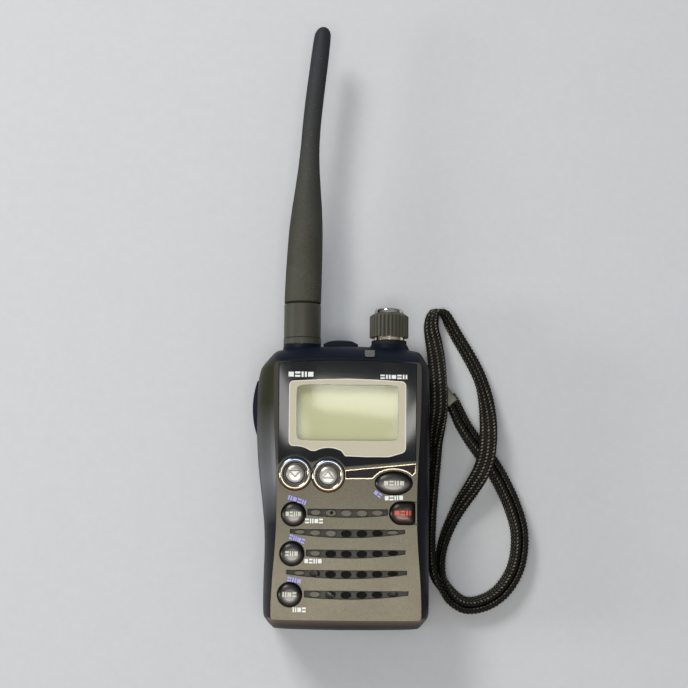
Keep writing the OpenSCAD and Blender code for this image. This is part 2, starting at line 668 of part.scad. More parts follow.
module antenna_coil() color("#b87333") loft([
    for (j = [0:coil_turns * 12]) let (t = j / (coil_turns * 12), f = coil_frame(t), y = coil_start + coil_len * t)
        [for (k = [5:-1:0]) let (b = 60 * k, r = coil_r + coil_wire * cos(b))
            [-antenna_x + 0.4 + r * f[0], y + coil_wire * sin(b), axis_z + r * f[1]]]
]);

// ---------------------------------------------------------------- battery pack

module battery_case() color("#1f2022") difference() {
    union() {
        intersection() {
            back_envelope(pack_d);
            block([-30, -45, 0], [30, pack_top, pack_d]);
        }
        block([-20.2, -40.15, pack_d - 1], [20.2, -38.75, 12.2]);
    }
    tray(21.4, -38.6, 22.6, 1.3, pack_d + 1, 2);
    block([-25, -31, 3.4], [-21, -27.2, 6.9]);
    for (x = [-4, 0, 4]) block([x - 1.1, pack_top - 0.3, 3], [x + 1.1, pack_top + 1, 6]);
}

module battery_lid() color("#26272a") {
    tray(21.2, -38.4, 22.4, 7.9, 9.9, 3);
    for (s = [-1, 1]) {
        block([s * rail_x - 1, -37, 9.8], [s * rail_x + 1, 14, 11.26]);
        block([s * rail_x - 1.9, -37, 11.25], [s * rail_x + 1.9, 14, 11.95]);
    }
}

module battery_cell() color("#5d7fa6") slab(rounded([0, -9], 34, 50, 1.5), 1.5, 7.6);

module battery_board() color("#2f6b3c") {
    block([-11, 17.6, 1.5], [11, 18.4, 6.8]);
    block([-8, 18.4, 2.2], [8, 20, 5.8]);
}

module battery_contacts() color("#d3b15c") for (x = [-4, 0, 4])
    block([x - 1, pack_top - 0.28, 3.1], [x + 1, pack_top - 0.05, 5.9]);

module battery_release() color("#17181a") {
    block([-24, -30.9, 3.5], [-21.2, -27.3, 6.8]);
    block([-21.25, -32, 2.6], [-20.5, -26.2, 7.7]);
}

module jack_cover() color("#3b3d36") {
    intersection() {
        translate([-7.1, 0, 0]) rotate([90, 0, 90]) linear_extrude(10) polygon(concat(
            [[40.2, 10.5], [39.45, 11.2], [39.45, 18.6]], arc([33, 14.6], 9.6, 23, -20, 10), [[41.4, 10.5]]));
        translate([jack_x, 33.3, 5]) cylinder(h = 20, r = 9.2, $fn = 160);
    }
    translate([jack_x - 4, 40.6, 10.6]) rotate([0, 90, 0]) cylinder(h = 8, r = 0.6, $fn = 40);
}

// ---------------------------------------------------------------- wrist strap

module wrist_strap() color("#141412") loft([for (i = [0:len(band_route) - 1]) band_ring(i)]);

module strap_ferrule() color("#8b8c84") translate([ferrule_at[0], ferrule_at[1], 0])
    multmatrix([[ferrule_to[0], -ferrule_to[1], 0, 0], [ferrule_to[1], ferrule_to[0], 0, 0], [0, 0, 1, 0]])
        translate([0, -1.95, 0.05]) cube([ferrule_len, 3.9, 5.7]);

function lanyard_ring(i) = let (d = along(lanyard_route, i), n = left(d), p = lanyard_route[i])
    [for (k = [0:7]) [p[0] + n[0] * lanyard_r * cos(45 * k), p[1] + n[1] * lanyard_r * cos(45 * k),
        lanyard_z + lanyard_r * sin(45 * k)]];

module strap_lanyard() color("#101010") loft([for (i = [0:len(lanyard_route) - 1]) lanyard_ring(i)]);

front_case();
rear_case();
display_lens();
lcd_panel();
lcd_holder();
trim_ring();
trim_strip();
trim_inlay();
status_light_pipe();
speaker();
speaker_felt();
microphone();
microphone_boot();
logic_board();
main_board();
board_connector();
shield_cans();
dome_switches();
keypad_membrane();
antenna_jack();
antenna_jack_nut();
encoder_body();
encoder_nut();
dial_seal();
headset_jack();
side_switch_board();
case_gasket();
case_screws();
board_screws();
battery_terminals();
strap_post();
dial_grip();
dial_cap();
dial_ring();
dial_shaft();
down_key();
up_key();
call_key();
memory_key();
squelch_key();
band_key();
power_key();
ptt_button();
antenna_seal();
antenna_collar();
antenna_sheath();
antenna_coil();
antenna_plug();
battery_case();
battery_lid();
battery_cell();
battery_board();
battery_contacts();
battery_release();
jack_cover();
wrist_strap();
strap_ferrule();
strap_lanyard();
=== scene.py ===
import math

import bpy
import numpy as np
from mathutils import Matrix, Vector
from mathutils.bvhtree import BVHTree


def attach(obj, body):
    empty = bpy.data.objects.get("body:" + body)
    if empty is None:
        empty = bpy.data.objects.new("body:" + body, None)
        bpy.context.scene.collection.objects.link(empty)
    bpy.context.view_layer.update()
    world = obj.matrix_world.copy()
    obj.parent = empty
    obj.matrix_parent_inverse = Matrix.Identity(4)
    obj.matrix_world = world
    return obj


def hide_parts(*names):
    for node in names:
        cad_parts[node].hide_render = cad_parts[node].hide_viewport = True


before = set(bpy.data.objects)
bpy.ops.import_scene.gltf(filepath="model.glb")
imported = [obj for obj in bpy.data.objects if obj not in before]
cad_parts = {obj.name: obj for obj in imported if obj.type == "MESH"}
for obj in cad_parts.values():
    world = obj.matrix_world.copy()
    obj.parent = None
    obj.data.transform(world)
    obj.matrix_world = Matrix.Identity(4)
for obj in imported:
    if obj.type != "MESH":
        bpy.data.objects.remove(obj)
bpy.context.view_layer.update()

MM = 0.001
scene = bpy.context.scene


# ---------------------------------------------------------------- camera
def camera():
    """The photo's view: almost straight down on the front, fitted to the sizes in the photo."""
    tilt, roll, distance = math.radians(6.8), math.radians(0.5), 0.510
    aim = Vector((-0.00117, 0.0412, 0.018))
    look = Vector((0, math.sin(tilt), -math.cos(tilt)))
    level_up = Vector((0, math.cos(tilt), math.sin(tilt)))
    up = level_up * math.cos(roll) - Vector((1, 0, 0)) * math.sin(roll)
    right = look.cross(up).normalized()
    turn = Matrix((right, up, -look)).transposed().to_4x4()
    cam = bpy.data.objects.new("Camera", bpy.data.cameras.new("Camera"))
    scene.collection.objects.link(cam)
    cam.matrix_world = Matrix.Translation(aim - look * distance) @ turn
    cam.data.lens, cam.data.sensor_width = 92.35, 36
    cam.data.clip_start, cam.data.clip_end = 0.01, 10
    scene.camera = cam


camera()


# ---------------------------------------------------------------- materials
FINE_SHARE, WIDE_SHARE = 0.65, 0.35   # of the fine and the wide noise in a surface's variation
WIDE_SCALE = 90.0                     # features per metre of the wide noise
BUMP_DEPTH = 0.00002                  # metres of the fine texture's relief
SPECK_SCALE, SPECK_SIZE, SPECK_RGB = 820.0, 0.13, (0.16, 0.15, 0.13)  # dust
COAT_ROUGH = 0.06


def new_mat(name):
    m = bpy.data.materials.new(name)
    m.use_nodes = True
    nt = m.node_tree
    nt.nodes.clear()
    return m, nt.nodes, nt.links


def add(nodes, kind, **values):
    """Adds a node. A name that starts with _ is one of its sockets, any other is a property."""
    n = nodes.new(kind)
    for k, v in values.items():
        if k[0] == "_":
            n.inputs[k[1:].replace("_", " ")].default_value = v
        else:
            setattr(n, k, v)
    return n


def ramp(nodes, stops):
    r = nodes.new("ShaderNodeValToRGB")
    while len(r.color_ramp.elements) < len(stops):
        r.color_ramp.elements.new(0.5)
    for e, (p, c) in zip(r.color_ramp.elements, stops):
        e.position, e.color = p, (*c, 1)
    return r


def feed(links, socket, v):
    """Links v into the socket, or sets it there if it is a number or a colour."""
    if isinstance(v, (int, float)):
        socket.default_value = v
    elif isinstance(v, tuple):
        socket.default_value = (*v, 1)
    else:
        links.new(v, socket)


def math_node(nodes, links, op, a, b=None, clamp=False):
    n = add(nodes, "ShaderNodeMath", operation=op, use_clamp=clamp)
    feed(links, n.inputs[0], a)
    if b is not None:
        feed(links, n.inputs[1], b)
    return n.outputs[0]


def times(n, l, first, *rest):
    """The product of two or more values."""
    for v in rest:
        first = math_node(n, l, "MULTIPLY", first, v)
    return first


def mix_color(n, l, fac, a, b, blend="MIX"):
    m = add(n, "ShaderNodeMix", data_type="RGBA", blend_type=blend)
    for i, v in ((0, fac), (6, a), (7, b)):
        feed(l, m.inputs[i], v)
    return m.outputs[2]


def shaded(n, l, colour, by):
    """The colour multiplied by a value or another colour."""
    return mix_color(n, l, 1.0, colour, by, "MULTIPLY")


def level(n, l, value, a, b, c=0.0, d=1.0):
    """Maps value from the range a to b onto c to d."""
    m = add(n, "ShaderNodeMapRange", _From_Min=a, _From_Max=b, _To_Min=c, _To_Max=d)
    l.new(value, m.inputs[0])
    return m.outputs[0]


def xyz(n, l, vector):
    s = n.new("ShaderNodeSeparateXYZ")
    l.new(vector, s.inputs[0])
    return s.outputs


def geometry(n, what="Normal"):
    return n.new("ShaderNodeNewGeometry").outputs[what]


def dark(c, k):
    return tuple(x * k for x in c)


def pale(c, k, plus):
    return tuple(min(1, x * k + plus) for x in c)


def surface(name, rgb, rough=0.5, metal=0.0, grain=3.0, bump=0.15, tint=0.12, spread=0.1, soft=0.0, wear=0.0,
            coat=0.0, stretch=None, sheen=0.0, zones=None, specks=0.0, ior=1.5, crevice=0.0, spec=0.5):
    """A varied surface. grain is the size of its fine texture in features per millimetre, tint the change of
    colour, spread the change of roughness, soft the radius in millimetres that edges are rounded to, wear the
    bare edges, crevice the reach in millimetres of the painted shade in gaps. zones colours it by place, and
    then sets the specular level itself."""
    m, n, l = new_mat(name)
    out = n.new("ShaderNodeOutputMaterial")
    p = add(n, "ShaderNodeBsdfPrincipled")
    l.new(p.outputs[0], out.inputs[0])
    co = n.new("ShaderNodeTexCoord").outputs["Object"]
    base = co
    if stretch:
        mp = add(n, "ShaderNodeMapping", _Scale=stretch)
        l.new(co, mp.inputs[0])
        base = mp.outputs[0]
    fine = add(n, "ShaderNodeTexNoise", _Scale=grain / MM, _Detail=3.0, _Roughness=0.6)
    wide = add(n, "ShaderNodeTexNoise", _Scale=WIDE_SCALE, _Detail=4.0, _Roughness=0.55)
    l.new(base, fine.inputs["Vector"])
    l.new(co, wide.inputs["Vector"])
    fine_part, wide_part = times(n, l, fine.outputs[0], FINE_SHARE), times(n, l, wide.outputs[0], WIDE_SHARE)
    both = math_node(n, l, "ADD", fine_part, wide_part)
    r = ramp(n, [(0.3, dark(rgb, 1 - tint)), (0.72, pale(rgb, 1 + tint, 0.01 * tint))])
    l.new(both, r.inputs[0])
    colour = r.outputs[0]
    if zones:
        colour = zones(n, l, co, colour, p)
    normal = None
    if soft:
        normal = add(n, "ShaderNodeBevel", samples=5, _Radius=soft * MM).outputs[0]
        if wear:
            dot = add(n, "ShaderNodeVectorMath", operation="DOT_PRODUCT")
            l.new(normal, dot.inputs[0])
            l.new(geometry(n), dot.inputs[1])
            bend = math_node(n, l, "SUBTRACT", 0.98, dot.outputs["Value"], True)
            edge = math_node(n, l, "MULTIPLY", bend, 6.0, True)
            rubbed = math_node(n, l, "MULTIPLY", wide.outputs[0], wear)
            edge = math_node(n, l, "MULTIPLY", edge, rubbed, True)
            colour = mix_color(n, l, edge, colour, pale(rgb, 2.2, 0.05))
    if specks:
        sp = add(n, "ShaderNodeTexVoronoi", _Scale=SPECK_SCALE)
        l.new(co, sp.inputs["Vector"])
        dots = math_node(n, l, "LESS_THAN", sp.outputs["Distance"], SPECK_SIZE)
        keep = math_node(n, l, "GREATER_THAN", wide.outputs[0], 0.5)
        colour = mix_color(n, l, times(n, l, dots, keep, specks), colour, SPECK_RGB)
    if crevice:
        # painted shade: the colour darkens in gaps and hollows, by ambient occlusion
        ao = add(n, "ShaderNodeAmbientOcclusion", samples=8, _Distance=crevice * MM)
        colour = shaded(n, l, colour, level(n, l, ao.outputs["AO"], 0.35, 0.85, 0.04, 1.0))
    l.new(colour, p.inputs["Base Color"])
    smoothest, roughest = max(0.02, rough - spread), min(1, rough + spread)
    l.new(level(n, l, both, 0.3, 0.7, smoothest, roughest), p.inputs["Roughness"])
    if bump:
        b = add(n, "ShaderNodeBump", _Strength=bump, _Distance=BUMP_DEPTH)
        l.new(fine.outputs[0], b.inputs["Height"])
        if normal:
            l.new(normal, b.inputs["Normal"])
        normal = b.outputs[0]
    if normal:
        l.new(normal, p.inputs["Normal"])
    if not zones:
        p.inputs["Specular IOR Level"].default_value = spec
    for socket, value in (("Metallic", metal), ("IOR", ior), ("Coat Weight", coat),
                          ("Coat Roughness", COAT_ROUGH), ("Sheen Weight", sheen)):
        p.inputs[socket].default_value = value
    return m


def outside(n, l, co, x, y, half_x, half_y, r):
    """1 outside of a rectangle with rounded corners, seen along Z, else 0. All in millimetres."""
    place = xyz(n, l, co)
    squares = []
    for k, centre, half in ((0, x, half_x), (1, y, half_y)):
        a = math_node(n, l, "ABSOLUTE", math_node(n, l, "SUBTRACT", place[k], centre * MM))
        a = math_node(n, l, "MAXIMUM", math_node(n, l, "SUBTRACT", a, (half - r) * MM), 0.0)
        squares.append(times(n, l, a, a))
    return math_node(n, l, "GREATER_THAN", math_node(n, l, "SQRT", math_node(n, l, "ADD", *squares)), r * MM)


# places on the front case in metres: where a zone starts, and where it is full
LEFT_X = (-0.0185, -0.0205)
PANEL_TOP_Y, HEAD_Y, FOOT_Y = (0.0352, 0.0346), (0.0345, 0.0362), (-0.0362, -0.0370)
FOOT_RAMP_Y = (-0.0373, -0.0405)
OLIVE_REFLECTION_Y, WAIST_LOW_Y, WAIST_HIGH_Y = (-0.006, 0.012), (-0.011, 0.001), (0.023, 0.003)
SLOT_FLOOR_Z = (0.02795, 0.0274)
# and the z and y of the normal that tell the flat panel and the bevels from the walls
PANEL_NZ, BEVEL_NZ, FOOT_NY = (0.93, 0.98), (0.10, 0.38), (-0.3, -0.55)
FLAKE_SCALE = 8000.0                  # paint flakes per metre
# bevel colours with painted light: the right side painted shaded, the left painted lit, a painted olive
# reflection and a painted highlight at the waist, a painted blue reflection at the head and a painted warm
# sheen at the foot
RIGHT_SHADED_RGB, LEFT_LIT_RGB = (0.0060, 0.0060, 0.0088), (0.0085, 0.0085, 0.0110)
OLIVE_REFLECTION_RGB, WAIST_HIGHLIGHT_RGB = (0.019, 0.0195, 0.0075), (0.082, 0.083, 0.089)
HEAD_WALL_RGB, HEAD_BLUE_REFLECTION_RGB = (0.0070, 0.0080, 0.0105), (0.0060, 0.0092, 0.0178)
FOOT_SHEEN_STOPS = [(0.0, (0.180, 0.148, 0.116)), (0.19, (0.135, 0.102, 0.080)), (0.62, (0.023, 0.014, 0.014)),
              (1.0, (0.006, 0.005, 0.006))]


def front_zones(n, l, co, colour, p):
    """Metallic paint on the flat panel; dark plastic on the bevels, with painted reflections warmer below and
    bluer at the top.
    The left bevel is painted lighter, with a painted olive reflection and a painted highlight at the waist;
    gaps get painted shade.
    """
    x, y, z = xyz(n, l, co)
    _, ny, nz = xyz(n, l, geometry(n, "True Normal"))
    # the paint: flakes, a painted light gradient that makes it paler below, darker under the window, and
    # painted shade that makes it darkest on the slots' floors
    flake = add(n, "ShaderNodeTexVoronoi", _Scale=FLAKE_SCALE)
    l.new(co, flake.inputs["Vector"])
    fade_and_painted_shade = times(n, l, level(n, l, y, -0.022, 0.002, 1.0, 0.66), level(n, l, y, 0.0045, 0.0075, 1.0, 0.3),
                 level(n, l, z, *SLOT_FLOOR_Z, 1.0, 0.22))
    paint = shaded(n, l, colour, times(n, l, level(n, l, flake.outputs["Color"], 0, 1, 0.66, 1.42), fade_and_painted_shade))
    # the dark plastic: painted lighter on the left bevel, with a painted olive reflection there, and a
    # painted highlight that makes it paler and glossier at the waist
    left_side, bevel = level(n, l, x, *LEFT_X), level(n, l, nz, *BEVEL_NZ)
    body = mix_color(n, l, left_side, RIGHT_SHADED_RGB, LEFT_LIT_RGB)
    body = mix_color(n, l, times(n, l, left_side, level(n, l, y, *OLIVE_REFLECTION_Y), bevel), body, OLIVE_REFLECTION_RGB)
    waist = times(n, l, level(n, l, y, *WAIST_LOW_Y), level(n, l, y, *WAIST_HIGH_Y),
                  times(n, l, left_side, bevel))
    body = mix_color(n, l, waist, body, WAIST_HIGHLIGHT_RGB)
    # painted blue reflection on the head's bevel
    head = mix_color(n, l, bevel, HEAD_WALL_RGB, HEAD_BLUE_REFLECTION_RGB)
    body = mix_color(n, l, level(n, l, y, *HEAD_Y), body, head)
    # painted warm sheen on the bevel at the foot
    foot = ramp(n, FOOT_SHEEN_STOPS)
    l.new(level(n, l, y, *FOOT_RAMP_Y), foot.inputs[0])
    near = times(n, l, level(n, l, y, *FOOT_Y), level(n, l, ny, *FOOT_NY), bevel)
    body = mix_color(n, l, near, body, foot.outputs[0])
    flat = times(n, l, level(n, l, nz, *PANEL_NZ), level(n, l, y, *PANEL_TOP_Y))
    l.new(times(n, l, flat, 0.45), p.inputs["Metallic"])
    gloss = math_node(n, l, "ADD", level(n, l, left_side, 0, 1, 0.07, 0.12), times(n, l, waist, 0.6))
    l.new(math_node(n, l, "MAXIMUM", gloss, times(n, l, flat, 0.5)), p.inputs["Specular IOR Level"])
    # painted shade: the colour darkens in gaps and recesses, by ambient occlusion
    ao = add(n, "ShaderNodeAmbientOcclusion", samples=8, only_local=True, _Distance=0.0021)
    gaps = level(n, l, ao.outputs["AO"], 0.28, 0.94, 0.06, 1.0)
    return shaded(n, l, mix_color(n, l, flat, body, paint), gaps)


WHIP_FOOT_TINT, WHIP_TIP_TINT, WHIP_TINT_Y = (1.0, 1.0, 0.90), (0.43, 0.50, 0.68), (0.058, 0.125)


def whip_zones(n, l, co, colour, p):
    """Olive-black at the foot, blue-black towards the tip, with painted shade on the sides and painted light
    on the top.
    """
    along_y = level(n, l, xyz(n, l, co)[1], *WHIP_TINT_Y)
    tinted = shaded(n, l, colour, mix_color(n, l, along_y, WHIP_FOOT_TINT, WHIP_TIP_TINT))
    p.inputs["Specular IOR Level"].default_value = 0.2
    # painted shade on the sheath's sides and painted light on its top, by the normal's z
    upward = math_node(n, l, "ABSOLUTE", xyz(n, l, geometry(n))[2])
    return shaded(n, l, tinted, level(n, l, upward, 0.1, 0.85, 0.45, 1.12))


def shaded_dome_zones(edge, full, rim, far, near):
    """A crowned key with painted light and shade: painted shade makes it darkest round the rim, and it is
    painted paler towards the near side. edge and full are the z of the normal where the colour has the rim's
    share and all of itself, far and near its shares where the key slopes away from the near side and towards
    it."""
    def zones(n, l, co, colour, p):
        _, ny, nz = xyz(n, l, geometry(n))
        p.inputs["Specular IOR Level"].default_value = 0.4
        # painted shade round the rim and where the key faces the far side, painted light where it faces the
        # near side
        share = times(n, l, level(n, l, nz, edge, full, rim, 1.0), level(n, l, ny, 0.12, -0.14, far, near))
        return shaded(n, l, colour, share)
    return zones


# painted reflections on the plated ring: warm copper where it faces the near side and steel-grey where it
# faces the far side, the crown warmer at its foot and cooler at its top
COPPER_REFLECTION_RGB, STEEL_GREY_REFLECTION_RGB = (0.40, 0.27, 0.17), (0.16, 0.20, 0.25)
CROWN_TOP_REFLECTION_RGB, CROWN_FOOT_REFLECTION_RGB = (0.20, 0.25, 0.33), (0.37, 0.26, 0.18)


def ring_zones(n, l, co, colour, p):
    """The plated ring, with painted reflections: copper at the foot, pale gold at the sides and steel-grey at
    the top.
    """
    _, ny, nz = xyz(n, l, geometry(n))
    y = xyz(n, l, co)[1]
    flank = mix_color(n, l, level(n, l, ny, -0.35, 0.35), COPPER_REFLECTION_RGB, STEEL_GREY_REFLECTION_RGB)
    crown = mix_color(n, l, level(n, l, y, 0.0040, 0.0066), colour, CROWN_TOP_REFLECTION_RGB)
    crown = mix_color(n, l, level(n, l, y, 0.0018, -0.0010), crown, CROWN_FOOT_REFLECTION_RGB)
    return mix_color(n, l, level(n, l, nz, 0.55, 0.9), flank, crown)


# rounded rectangles in millimetres: centre, half width and height, corner radius
LIGHT_WINDOW = (6.175, 38.5, 1.42, 2.05, 0.6)
DISPLAY_WINDOW = (0, 20.5, 14.4, 7.9, 0.9)
# the case's colour round the light guide, which carries the head's painted blue reflection
LIGHT_MASK_RGB = (0.0055, 0.009, 0.019)


def light_zones(n, l, co, colour, p):
    """The light guide's lower corners are masked to a radius by the case."""
    return mix_color(n, l, outside(n, l, co, *LIGHT_WINDOW), colour, LIGHT_MASK_RGB)


def lens_material():
    """Gloss window: clear over the display, printed black from behind elsewhere."""
    m, n, l = new_mat("window")
    out = n.new("ShaderNodeOutputMaterial")
    co = n.new("ShaderNodeTexCoord").outputs["Object"]
    opaque = outside(n, l, co, *DISPLAY_WINDOW)
    smear = add(n, "ShaderNodeTexNoise", _Scale=160.0, _Detail=5.0)
    l.new(co, smear.inputs["Vector"])
    rough = level(n, l, smear.outputs[0], 0.35, 0.7, 0.042, 0.052)
    black = add(n, "ShaderNodeBsdfPrincipled")
    tone = ramp(n, [(0.35, (0.0025, 0.0025, 0.0030)), (0.7, (0.0040, 0.0040, 0.0048))])
    bevel = add(n, "ShaderNodeBevel", samples=5, _Radius=0.00014)
    l.new(smear.outputs[0], tone.inputs[0])
    l.new(tone.outputs[0], black.inputs["Base Color"])
    l.new(rough, black.inputs["Roughness"])
    l.new(bevel.outputs[0], black.inputs["Normal"])
    clear = add(n, "ShaderNodeBsdfTransparent", _Color=(0.93, 0.94, 0.92, 1))
    shine = add(n, "ShaderNodeBsdfGlossy")
    l.new(rough, shine.inputs["Roughness"])
    # no reflection from the back of the surface, where it would be total
    front = math_node(n, l, "SUBTRACT", 1.0, geometry(n, "Backfacing"))
    fresnel = add(n, "ShaderNodeFresnel", _IOR=1.45)

    def mixed(share, a, b):
        mix = n.new("ShaderNodeMixShader")
        for i, v in enumerate((share, a, b)):
            l.new(v, mix.inputs[i])
        return mix.outputs[0]

    glass = mixed(times(n, l, fresnel.outputs[0], front), clear.outputs[0], shine.outputs[0])
    l.new(mixed(opaque, glass, black.outputs[0]), out.inputs[0])
    return m


THREAD_GAP_RGB, THREAD_RGB = (0.0012, 0.0012, 0.0014), (0.0050, 0.0048, 0.0050)
KHAKI_RGB = (0.30, 0.265, 0.17)


def braid_material():
    """Chain stitches in rows along the band: UV holds the stitch count along it and the row round it."""
    m, n, l = new_mat("braid")
    out = n.new("ShaderNodeOutputMaterial")
    p = add(n, "ShaderNodeBsdfPrincipled", _Roughness=0.55)
    coords = n.new("ShaderNodeTexCoord").outputs
    u, v, _ = xyz(n, l, coords["UV"])

    def within(value):
        """The whole cell that value is in, and its place in it from -0.5 to 0.5."""
        cell = math_node(n, l, "FLOOR", value)
        return cell, math_node(n, l, "SUBTRACT", math_node(n, l, "SUBTRACT", value, cell), 0.5)

    row, across = within(v)
    odd = math_node(n, l, "MODULO", row, 2.0)
    lean = times(n, l, across, math_node(n, l, "SUBTRACT", odd, 0.5))
    shifted = math_node(n, l, "ADD", math_node(n, l, "ADD", u, times(n, l, odd, 0.5)), lean)
    cell, ahead = within(shifted)
    a, b = times(n, l, ahead, 2.55), times(n, l, across, 2.1)
    d = math_node(n, l, "SQRT", math_node(n, l, "ADD", times(n, l, a, a), times(n, l, b, b)))
    plump = level(n, l, d, 1.05, 0.35)
    ids = n.new("ShaderNodeCombineXYZ")
    l.new(cell, ids.inputs[0])
    l.new(row, ids.inputs[1])
    chance = n.new("ShaderNodeTexWhiteNoise")
    l.new(ids.outputs[0], chance.inputs["Vector"])
    fibre = add(n, "ShaderNodeTexNoise", _Scale=7000.0, _Detail=2.0)
    l.new(coords["Object"], fibre.inputs["Vector"])
    # khaki threads show in every other row, black ones between them
    share = math_node(n, l, "ADD", 0.08, times(n, l, odd, 0.92))
    khaki = times(n, l, level(n, l, d, 0.92, 0.55), share, level(n, l, chance.outputs[0], 0, 1, 0.35, 1.0),
                  level(n, l, fibre.outputs[0], 0.3, 0.7, 0.55, 1.0))
    black = mix_color(n, l, plump, THREAD_GAP_RGB, THREAD_RGB)
    l.new(mix_color(n, l, khaki, black, KHAKI_RGB), p.inputs["Base Color"])
    bump = add(n, "ShaderNodeBump", _Strength=0.9, _Distance=0.00018)
    l.new(plump, bump.inputs["Height"])
    fine = add(n, "ShaderNodeBump", _Strength=0.3, _Distance=0.00003)
    l.new(fibre.outputs[0], fine.inputs["Height"])
    l.new(bump.outputs[0], fine.inputs["Normal"])
    l.new(fine.outputs[0], p.inputs["Normal"])
    p.inputs["Specular IOR Level"].default_value = 0.2
    l.new(p.outputs[0], out.inputs[0])
    return m


